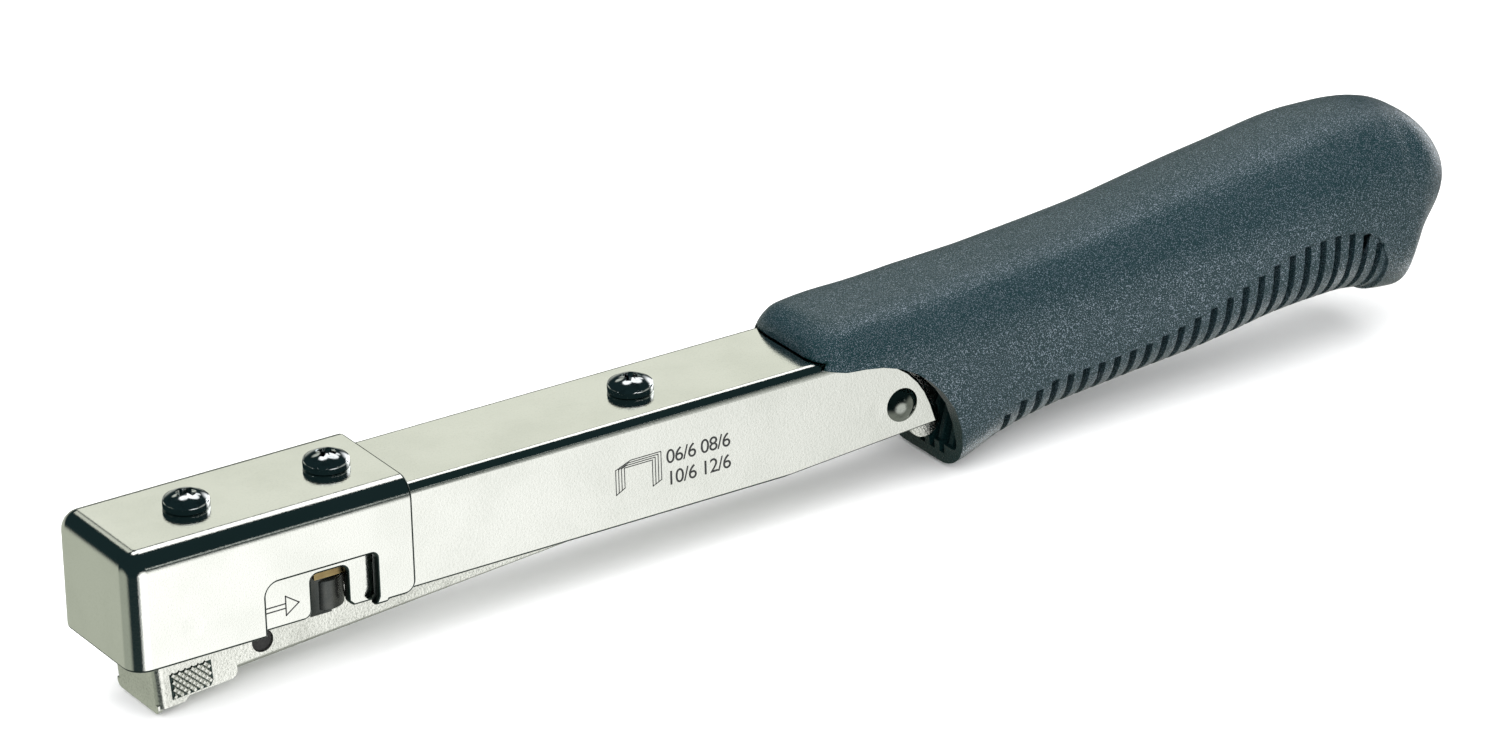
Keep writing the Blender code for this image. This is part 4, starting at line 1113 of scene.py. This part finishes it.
            # Each side gets a thin dark sheet just proud of the nose under the diamonds: painted shade
            # between them.
            shade_patch = [(-143.3, -4.5), (-136.0, -4.5), (-135.4, -3.6), (-135.4, 0.2), (-143.3, 0.2)]
            shade_patches.append(Bench.prism("shade_patch", shade_patch, low, high))
        bpy.data.objects.remove(pip.thing)
        knurl = Bench.joined("nose_knurl", pips)
        knurl.seat(self.stance.magazine()).dress(paint, "nickel_coarse", Body.MAGAZINE, slot="nickel")
        # The joined dark sheets, in the dark edge finish: painted shade.
        ground = Bench.joined("nose_knurl_painted_shade", shade_patches)
        ground.seat(self.stance.magazine()).dress(paint, "painted_shade_steel", Body.MAGAZINE, slot="nickel")

    def build_staples(self, paint: Paintbox) -> None:
        """Makes the strip as single staples, which stand a hair apart."""
        half, wire, top, leg = 5.3, 0.62, 3.35, 6.0
        outline = [(half, top - leg), (half, top), (-half, top), (-half, top - leg)]
        outline += [
            (-half + wire, top - leg),
            (-half + wire, top - wire),
            (half - wire, top - wire),
            (half - wire, top - leg),
        ]
        first = Bench.prism("staple", outline, -142.8, -142.8 + 0.60, along="x").soften(0.1, 1)
        count = 68
        row = [first.copy("staple", (0.65 * step, 0, 0)) for step in range(count)]
        bpy.data.objects.remove(first.thing)
        strip = Bench.joined("staple_row", row)
        strip.seat(self.stance.magazine()).dress(
            paint, "staple_wire", Body.MAGAZINE, stands_for=["staple_strip"]
        )

    def build(self, paint: Paintbox) -> None:
        """Makes the channel, the nose and the staples."""
        self.build_channel(paint)
        self.build_nose(paint)
        self.build_staples(paint)


@dataclass(frozen=True)
class Station:
    """One section of the grip: its top, underside, half width and squareness, in millimetres."""

    x: float
    top: float
    under: float
    half: float
    square: float


def eased(stations: Sequence[Station], x: float, name: str) -> float:
    """Returns one measure of the grip at x, on a curve that never overshoots its stations.

    Args:
        stations: The sections, front to rear.
        x: Where along the tool, in millimetres.
        name: The measure's name.

    Returns:
        The measure in millimetres.
    """
    xs = [station.x for station in stations]
    ys = [getattr(station, name) for station in stations]
    gaps = [b - a for a, b in zip(xs, xs[1:])]
    rises = [(b - a) / gap for a, b, gap in zip(ys, ys[1:], gaps)]
    slopes = [rises[0]]
    for before, after in zip(rises, rises[1:]):
        slopes.append(0.0 if before * after <= 0 else 2 * before * after / (before + after))
    slopes.append(rises[-1])
    x = min(max(x, xs[0]), xs[-1])
    spot = max(i for i in range(len(gaps)) if xs[i] <= x)
    t = (x - xs[spot]) / gaps[spot]
    keep = (2 * t**3 - 3 * t**2 + 1) * ys[spot] + (3 * t**2 - 2 * t**3) * ys[spot + 1]
    lean = (t**3 - 2 * t**2 + t) * slopes[spot] + (t**3 - t**2) * slopes[spot + 1]
    return keep + lean * gaps[spot]


@dataclass
class Grip:
    """The moulded grip: an open front round the frame's cheeks, and ribs under the hand."""

    stance: Stance
    points: int = 72
    sections: int = 92
    stations: tuple[Station, ...] = tuple(
        Station(*row)
        for row in (
            (134.9, 20.0, -5.0, 10.0, 3.4),
            (135.2, 20.9, -6.4, 11.2, 3.5),
            (135.9, 21.9, -7.4, 12.2, 3.6),
            (137.4, 22.9, -8.4, 13.0, 3.8),
            (139.6, 23.7, -9.1, 13.6, 3.9),
            (146.0, 24.2, -9.2, 13.9, 3.9),
            (153.0, 24.4, -9.2, 14.0, 3.7),
            (160.0, 24.8, -9.1, 14.0, 3.6),
            (163.0, 25.1, -8.8, 14.0, 3.5),
            (166.0, 25.3, -8.0, 13.9, 3.4),
            (170.0, 25.5, -6.4, 13.9, 3.3),
            (176.0, 25.8, -4.7, 13.8, 3.2),
            (184.0, 26.5, -3.3, 13.8, 3.1),
            (193.0, 27.3, -2.5, 14.0, 3.0),
            (202.0, 28.4, -1.9, 14.3, 2.8),
            (212.0, 29.9, -1.1, 14.9, 2.7),
            (222.0, 31.4, 0.0, 15.6, 2.6),
            (232.0, 32.8, 1.1, 16.0, 2.5),
            (240.0, 33.9, 1.5, 16.3, 2.5),
            (247.0, 34.8, 1.2, 15.9, 2.4),
            (253.0, 34.8, 0.2, 15.4, 2.4),
            (257.5, 34.4, -0.5, 15.0, 2.4),
            (259.6, 34.0, -0.7, 14.6, 2.4),
            (261.2, 33.5, 2.6, 14.2, 2.4),
            (262.8, 32.9, 6.8, 13.7, 2.4),
            (264.9, 31.7, 10.0, 12.9, 2.4),
            (267.1, 29.8, 12.4, 11.6, 2.3),
            (269.2, 26.6, 15.4, 9.2, 2.2),
            (270.4, 23.3, 18.2, 5.6, 2.1),
            (270.9, 21.4, 19.8, 1.6, 2.0),
        )
    )
    chamber_half: float = 11.0
    ceiling: float = 17.4
    roof: float = 19.2
    rib_first: float = 172.4
    rib_last: float = 251.3
    rib_count: int = 25
    rib_slot: float = 1.46
    rib_depth: float = 1.7
    sole: tuple[float, float] = (140.0, -8.88)

    def section(self, x: float, inset: float = 0.0) -> list[Vector]:
        """Returns the points of one section, in metres, shrunk inwards by inset millimetres."""
        top, under, half, square = (
            eased(self.stations, x, name) for name in ("top", "under", "half", "square")
        )
        middle, reach, half = (top + under) / 2, (top - under) / 2 - inset, half - inset
        reach, half = max(reach, 0.05), max(half, 0.05)
        ring = []
        for index in range(self.points):
            angle = 2 * math.pi * (index + 0.5) / self.points
            across, up = math.cos(angle), math.sin(angle)
            y = half * math.copysign(abs(across) ** (2 / square), across)
            z = middle + reach * math.copysign(abs(up) ** (2 / square), up)
            ring.append(Vector((x, y, z)) * MM)
        return ring

    def places(self) -> list[float]:
        """Returns where the sections stand: close together at both ends and where the butt hooks."""
        start, end = self.stations[0].x, self.stations[-1].x
        spread = [
            start + (end - start) * 0.5 * (1 - math.cos(math.pi * s / self.sections))
            for s in range(self.sections + 1)
        ]
        spread += [256.0 + 0.5 * step for step in range(17)]
        places: list[float] = []
        for x in sorted(spread):
            if not places or x - places[-1] > 0.12:
                places.append(x)
        return places

    def form(
        self, name: str, inset: Callable[[float], float], start: float = 0.0, end: float = 300.0
    ) -> Bench:
        """Grows the grip section by section out of a disc.

        Args:
            name: The piece's name.
            inset: How far each section is shrunk, in millimetres, by x.
            start: The first x, if later than the grip's own.
            end: The last x, if earlier than the grip's own.

        Returns:
            The closed form.
        """
        places = [x for x in self.places() if start <= x <= end]
        ring = self.section(places[0], inset(places[0]))
        made = Bench.sheet(name, [point / MM for point in ring])
        made.pick(Pick.FACES, lambda face: True)
        for x in places[1:]:
            made.extrude(Vector((x - ring[0].x / MM, 0, 0)))
            mesh = bmesh.from_edit_mesh(made.thing.data)
            rim = next(face for face in mesh.faces if face.select)
            grown = self.section(x, inset(x))
            first = rim.verts[0].co
            shift = min(range(self.points), key=lambda k: (ring[k].yz - first.yz).length)
            second = rim.verts[1].co
            step = 1 if (ring[(shift + 1) % self.points].yz - second.yz).length < 1e-7 else -1
            for index, vertex in enumerate(list(rim.verts)):
                vertex.co = grown[(shift + step * index) % self.points]
            bmesh.update_edit_mesh(made.thing.data)
            ring = grown
        made.face_outwards()
        return made

    def rib_top(self, x: float) -> float:
        """Returns the upper edge of the ribbed field at x."""
        curve = [(168, -3.5), (171, 0.4), (175, 2.9), (182, 5.3), (195, 6.3), (202, 7.1)]
        curve += [(209, 8.9), (216, 11.2), (223, 13.9), (229, 16.2), (235, 17.9), (242, 18.2)]
        curve += [(247, 17.2), (250, 15.6), (252.6, 12.6), (253.6, 9.5)]
        for (x0, z0), (x1, z1) in zip(curve, curve[1:]):
            if x <= x1:
                return z0 + (z1 - z0) * (x - x0) / (x1 - x0)
        return curve[-1][1]

    def cut_ribs(self, grip: Bench) -> None:
        """Sinks the ribbed field towards the rear and cuts its slots."""
        steps = 30
        first, last = self.rib_first - 3.0, 253.6
        outline = [
            (first + (last - first) * s / steps, self.rib_top(first + (last - first) * s / steps))
            for s in range(steps + 1)
        ]
        outline += [(254.2, 4.0), (254.0, -6.0), (first, -6.0)]
        field_cut = Bench.prism("field", outline, -20, 20)

        def sink(x: float) -> float:
            share = min(max((x - 205.0) / 40.0, 0.0), 1.0)
            return -0.1 + 0.65 * share * share * (3 - 2 * share)

        field_cut.cut(self.form("field_core", sink, 160.0, 262.0))
        grip.cut(field_cut)
        slots = []
        pitch = (self.rib_last - self.rib_first) / (self.rib_count - 1)
        for index in range(self.rib_count):
            x = self.rib_first + pitch * index
            wide = self.rib_slot * (1.05 - 0.1 * index / self.rib_count) / 2
            slots.append(Bench.block("slot", (x - wide, -20, -14), (x + wide, 20, self.rib_top(x) - 0.5)))
        comb = Bench.joined("comb", slots)
        comb.cut(self.form("slot_core", lambda x: self.rib_depth + max(sink(x), 0.0), 160.0, 262.0))
        grip.cut(comb)

    def cut_front(self, grip: Bench) -> None:
        """Opens the front round the frame, its tang and the magazine's end, and levels the sole."""
        arch = [(125.0, 19.3), (133.5, 19.0), (136.0, 18.0), (139.5, 17.4), (143.0, 17.2)]
        arch += [(146.5, 16.7), (150.0, 15.6), (153.2, 13.9), (156.0, 11.6), (158.7, 8.6)]
        arch += [(160.8, 5.2), (162.1, 1.2), (162.8, -2.6), (163.1, -5.5), (163.1, -15.0)]
        grip.cut(Bench.prism("arch", arch + [(125.0, -15.0)], -30, 30))
        half = self.chamber_half
        chamber = Bench.block("chamber", (138, -half, -4.8), (172, half, self.ceiling))
        chamber.pick(Pick.EDGES, lambda edge: abs(edge.verts[0].co.x - edge.verts[1].co.x) > 10 * MM)
        chamber.round_picked(1.6, 4)
        grip.cut(Bench.block("roof", (125, -half, 0), (141, half, self.roof)), chamber)
        for y in (-6.05, -3.0, 0.0, 3.0, 6.05):
            grip.cut(Bench.block("slot", (160, y - 0.8, -6.6), (166.5, y + 0.8, -4)))
        grip.cut(Bench.block("tang", (139, -7.8, self.ceiling - 0.6), (237, 7.8, self.roof)))
        x, z = self.sole
        rear = z + 60 * math.tan(self.stance.tilt)
        grip.cut(Bench.prism("sole", [(x, z), (x, -30), (x + 60, -30), (x + 60, rear)], -30, 30))

    def build_webs(self, paint: Paintbox) -> None:
        """Makes the upright webs inside the front opening, which stand clear of the magazine's walls."""
        webs = []
        for y in (-7.7, -4.4, -1.6, 1.6, 4.4, 7.7):
            outline = [(163.4, -6.2), (165.8, -6.2), (172.4, -4.3), (172.4, 12.0), (168.5, 6.0), (165.4, 1.0)]
            webs.append(Bench.prism("web", outline, y - 0.65, y + 0.65))
        made = Bench.joined("grip_webs", webs).soften(0.15, 2)
        # The webs take the darker copy of the plastic: painted shade inside the opening.
        made.smooth().seat(self.stance.tool()).dress(paint, "grip_painted_shade", Body.TOOL, slot="grip_blue")

    def build(self, paint: Paintbox) -> None:
        """Makes the grip."""
        grip = self.form("grip_moulding", lambda x: 0.0)
        self.cut_front(grip)
        self.cut_ribs(grip)
        grip.soften(0.25, 2, 50)

        # Faces inside the front opening get a darker copy of the plastic: painted shade.
        def is_inside(face: bpy.types.MeshPolygon) -> bool:
            x, y, z = (part / MM for part in face.center)
            rim = x > 141 and (face.normal.x < -0.3 or face.normal.z < -0.4 and z > 0)
            return x < 173 and z < 19.4 and (rim or abs(y) < self.chamber_half + 0.2 and z > -8)

        grip.mark_cut(is_inside).smooth(38)
        seated = grip.seat(self.stance.tool())
        seated.dress(paint, "grip_blue", Body.TOOL, stands_for=["grip"], edge="grip_painted_shade")
        self.build_webs(paint)


@dataclass
class Works:
    """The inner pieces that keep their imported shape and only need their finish."""

    finishes: dict[str, tuple[str, ...]] = field(
        default_factory=lambda: {
            "blade_steel": ("striking_block", "driver_blade", "blade_clamp"),
            "zinc_yellow": ("catch_bracket", "pusher"),
            "buffer_black": ("strike_buffer",),
            "spring_steel": (
                "bracket_nut",
                "pivot_washer_near",
                "pivot_washer_far",
                "pivot_bush",
                "catch_spring",
                "pusher_spring",
                "return_spring",
                "staple_rail",
                "spring_rod",
                "rod_holder",
                "rail_clip_front",
                "rail_clip_rear",
            ),
        }
    )

    def build(self, paint: Paintbox) -> None:
        """Dresses the nodes."""
        for finish, nodes in self.finishes.items():
            for node in nodes:
                paint.dress_node(node, finish)


@dataclass(frozen=True)
class Card:
    """A soft-edged card or lamp in the room, which the polished steel mirrors."""

    towards: Triple
    inner: float
    outer: float
    colour: Triple
    strength: float = 1.0


@dataclass
class Studio:
    """Pale floor, soft light and the camera."""

    stance: Stance
    floor_size: float = 8.0
    lens: float = 188.5068
    eye: Triple = (-0.5201638, -1.0395291, 0.5718023)
    right: Triple = (0.84181525, -0.53911114, -0.02657574)
    up: Triple = (0.24322009, 0.33491053, 0.91031804)
    back: Triple = (-0.48186209, -0.77278336, 0.41305545)
    gloom: Triple = (0.010, 0.022, 0.024)
    cards: tuple[Card, ...] = (
        Card((0.0, 0.80, -0.60), 30, 55, (0.50, 0.52, 0.47)),
        Card((0.0, 0.0, -1.0), 30, 66, (0.46, 0.48, 0.44)),
        Card((0.70, -0.50, -0.50), 18, 46, (0.46, 0.48, 0.44)),
        Card((-0.42, 0.80, -0.43), 13, 33, (0.46, 0.49, 0.41)),
        Card((0.44, 0.79, 0.42), 10, 14, (0.80, 0.82, 0.73)),
        Card((0.10, 0.78, 0.62), 4, 9, (0.62, 0.64, 0.57)),
        Card((0.08, -0.90, -0.42), 15, 31, (1.0, 1.0, 0.99), 1.35),
        Card((-0.30, -0.85, -0.42), 1.5, 4.5, (0.40, 0.42, 0.42)),
        Card((0.41, -0.90, 0.14), 2, 4, (0.55, 0.58, 0.56)),
        Card((0.47, 0.41, 0.78), 11, 15, (1.0, 1.0, 1.0), 1.5),
        Card((0.14, 0.43, 0.89), 6, 12, (1.0, 1.0, 1.0), 1.6),
        Card((0.66, 0.52, 0.55), 2, 6, (1.0, 1.0, 1.0), 1.4),
        Card((-0.85, 0.28, -0.42), 10, 34, (0.34, 0.37, 0.31)),
        Card((0.94, 0.27, 0.04), 10, 32, (1.0, 1.0, 1.0), 2.6),
        Card((0.72, 0.19, -0.66), 6, 12, (1.0, 1.0, 0.97), 5.0),
    )

    def build_floor(self) -> None:
        """Makes the floor, which the steel doesn't mirror."""
        Bench.clear()
        bpy.ops.mesh.primitive_plane_add(size=self.floor_size, location=(0, 0, -0.0002))
        floor = Bench.taken("studio_floor")
        graph = Graph.paint("studio_white")
        tooth = graph.noise(graph.place(), 2.0, 2.0, 0.5)
        paper = graph.surface(
            Base_Color=graph.mix(tooth, (0.90, 0.90, 0.90), (0.92, 0.92, 0.92)), Roughness=0.9
        )
        floor.thing.data.materials.append(paper)
        floor.thing.visible_glossy = False

    def build_room(self) -> None:
        """Makes a dim room with the cards hung in it."""
        room = bpy.data.worlds.new("studio_room")
        bpy.context.scene.world = room
        graph = Graph(room, "Background")
        where = graph.node("ShaderNodeTexCoord", output="Generated")
        colour = self.gloom
        for card in self.cards:
            aim = tuple(Vector(card.towards).normalized())
            near = graph.node(
                "ShaderNodeVectorMath", {0: where, 1: aim}, output="Value", operation="DOT_PRODUCT"
            )
            inside = near.ramp(math.cos(math.radians(card.outer)), math.cos(math.radians(card.inner)))
            lit = tuple(part * card.strength for part in card.colour)
            colour = graph.mix(inside, colour, lit)
        graph.surface(Color=colour, Strength=1.0)

    def build_light(self, name: str, place: Triple, size: Point, power: float) -> None:
        """Adds a rectangular soft light that looks at the tool and isn't mirrored by it."""
        light = bpy.data.lights.new(name, "AREA")
        light.shape = "RECTANGLE"
        light.size, light.size_y = size
        light.energy = power
        lamp = bpy.data.objects.new(name, light)
        bpy.context.scene.collection.objects.link(lamp)
        lamp.location = place
        lamp.rotation_euler = (-Vector(place)).to_track_quat("-Z", "Y").to_euler()
        lamp.visible_glossy = False

    def build_camera(self) -> None:
        """Adds the camera, placed from the tool's own axes."""
        camera = bpy.data.cameras.new("camera")
        camera.lens, camera.sensor_width = self.lens, 36.0
        camera.clip_start, camera.clip_end = 0.05, 20.0
        holder = bpy.data.objects.new("camera", camera)
        bpy.context.scene.collection.objects.link(holder)
        columns = (self.right, self.up, self.back, self.eye)
        pose = Matrix([[column[row] for column in columns] for row in range(3)] + [[0, 0, 0, 1]])
        holder.matrix_world = self.stance.tool() @ pose
        bpy.context.scene.camera = holder

    def build(self) -> None:
        """Makes the whole studio."""
        bpy.context.scene.view_settings.view_transform = "Standard"
        self.build_floor()
        self.build_room()
        self.build_light("overhead", (-0.35, -0.40, 1.3), (4.5, 4.5), 165.0)
        self.build_light("front_fill", (-0.4, -1.6, 0.9), (1.8, 0.9), 16.0)
        self.build_camera()


def main() -> None:
    """Builds the tool and the studio."""
    logging.basicConfig(level=logging.INFO, format="%(name)s %(message)s")
    stance = Stance()
    paint = Paintbox()
    assemblies = (
        Cap(stance),
        Frame(stance),
        Screws(stance),
        Catch(stance),
        Magazine(stance),
        Grip(stance),
        Works(),
    )
    for assembly in assemblies:
        assembly.build(paint)
    Studio(stance).build()
    Bench.clear()


if __name__ == "__main__":
    main()
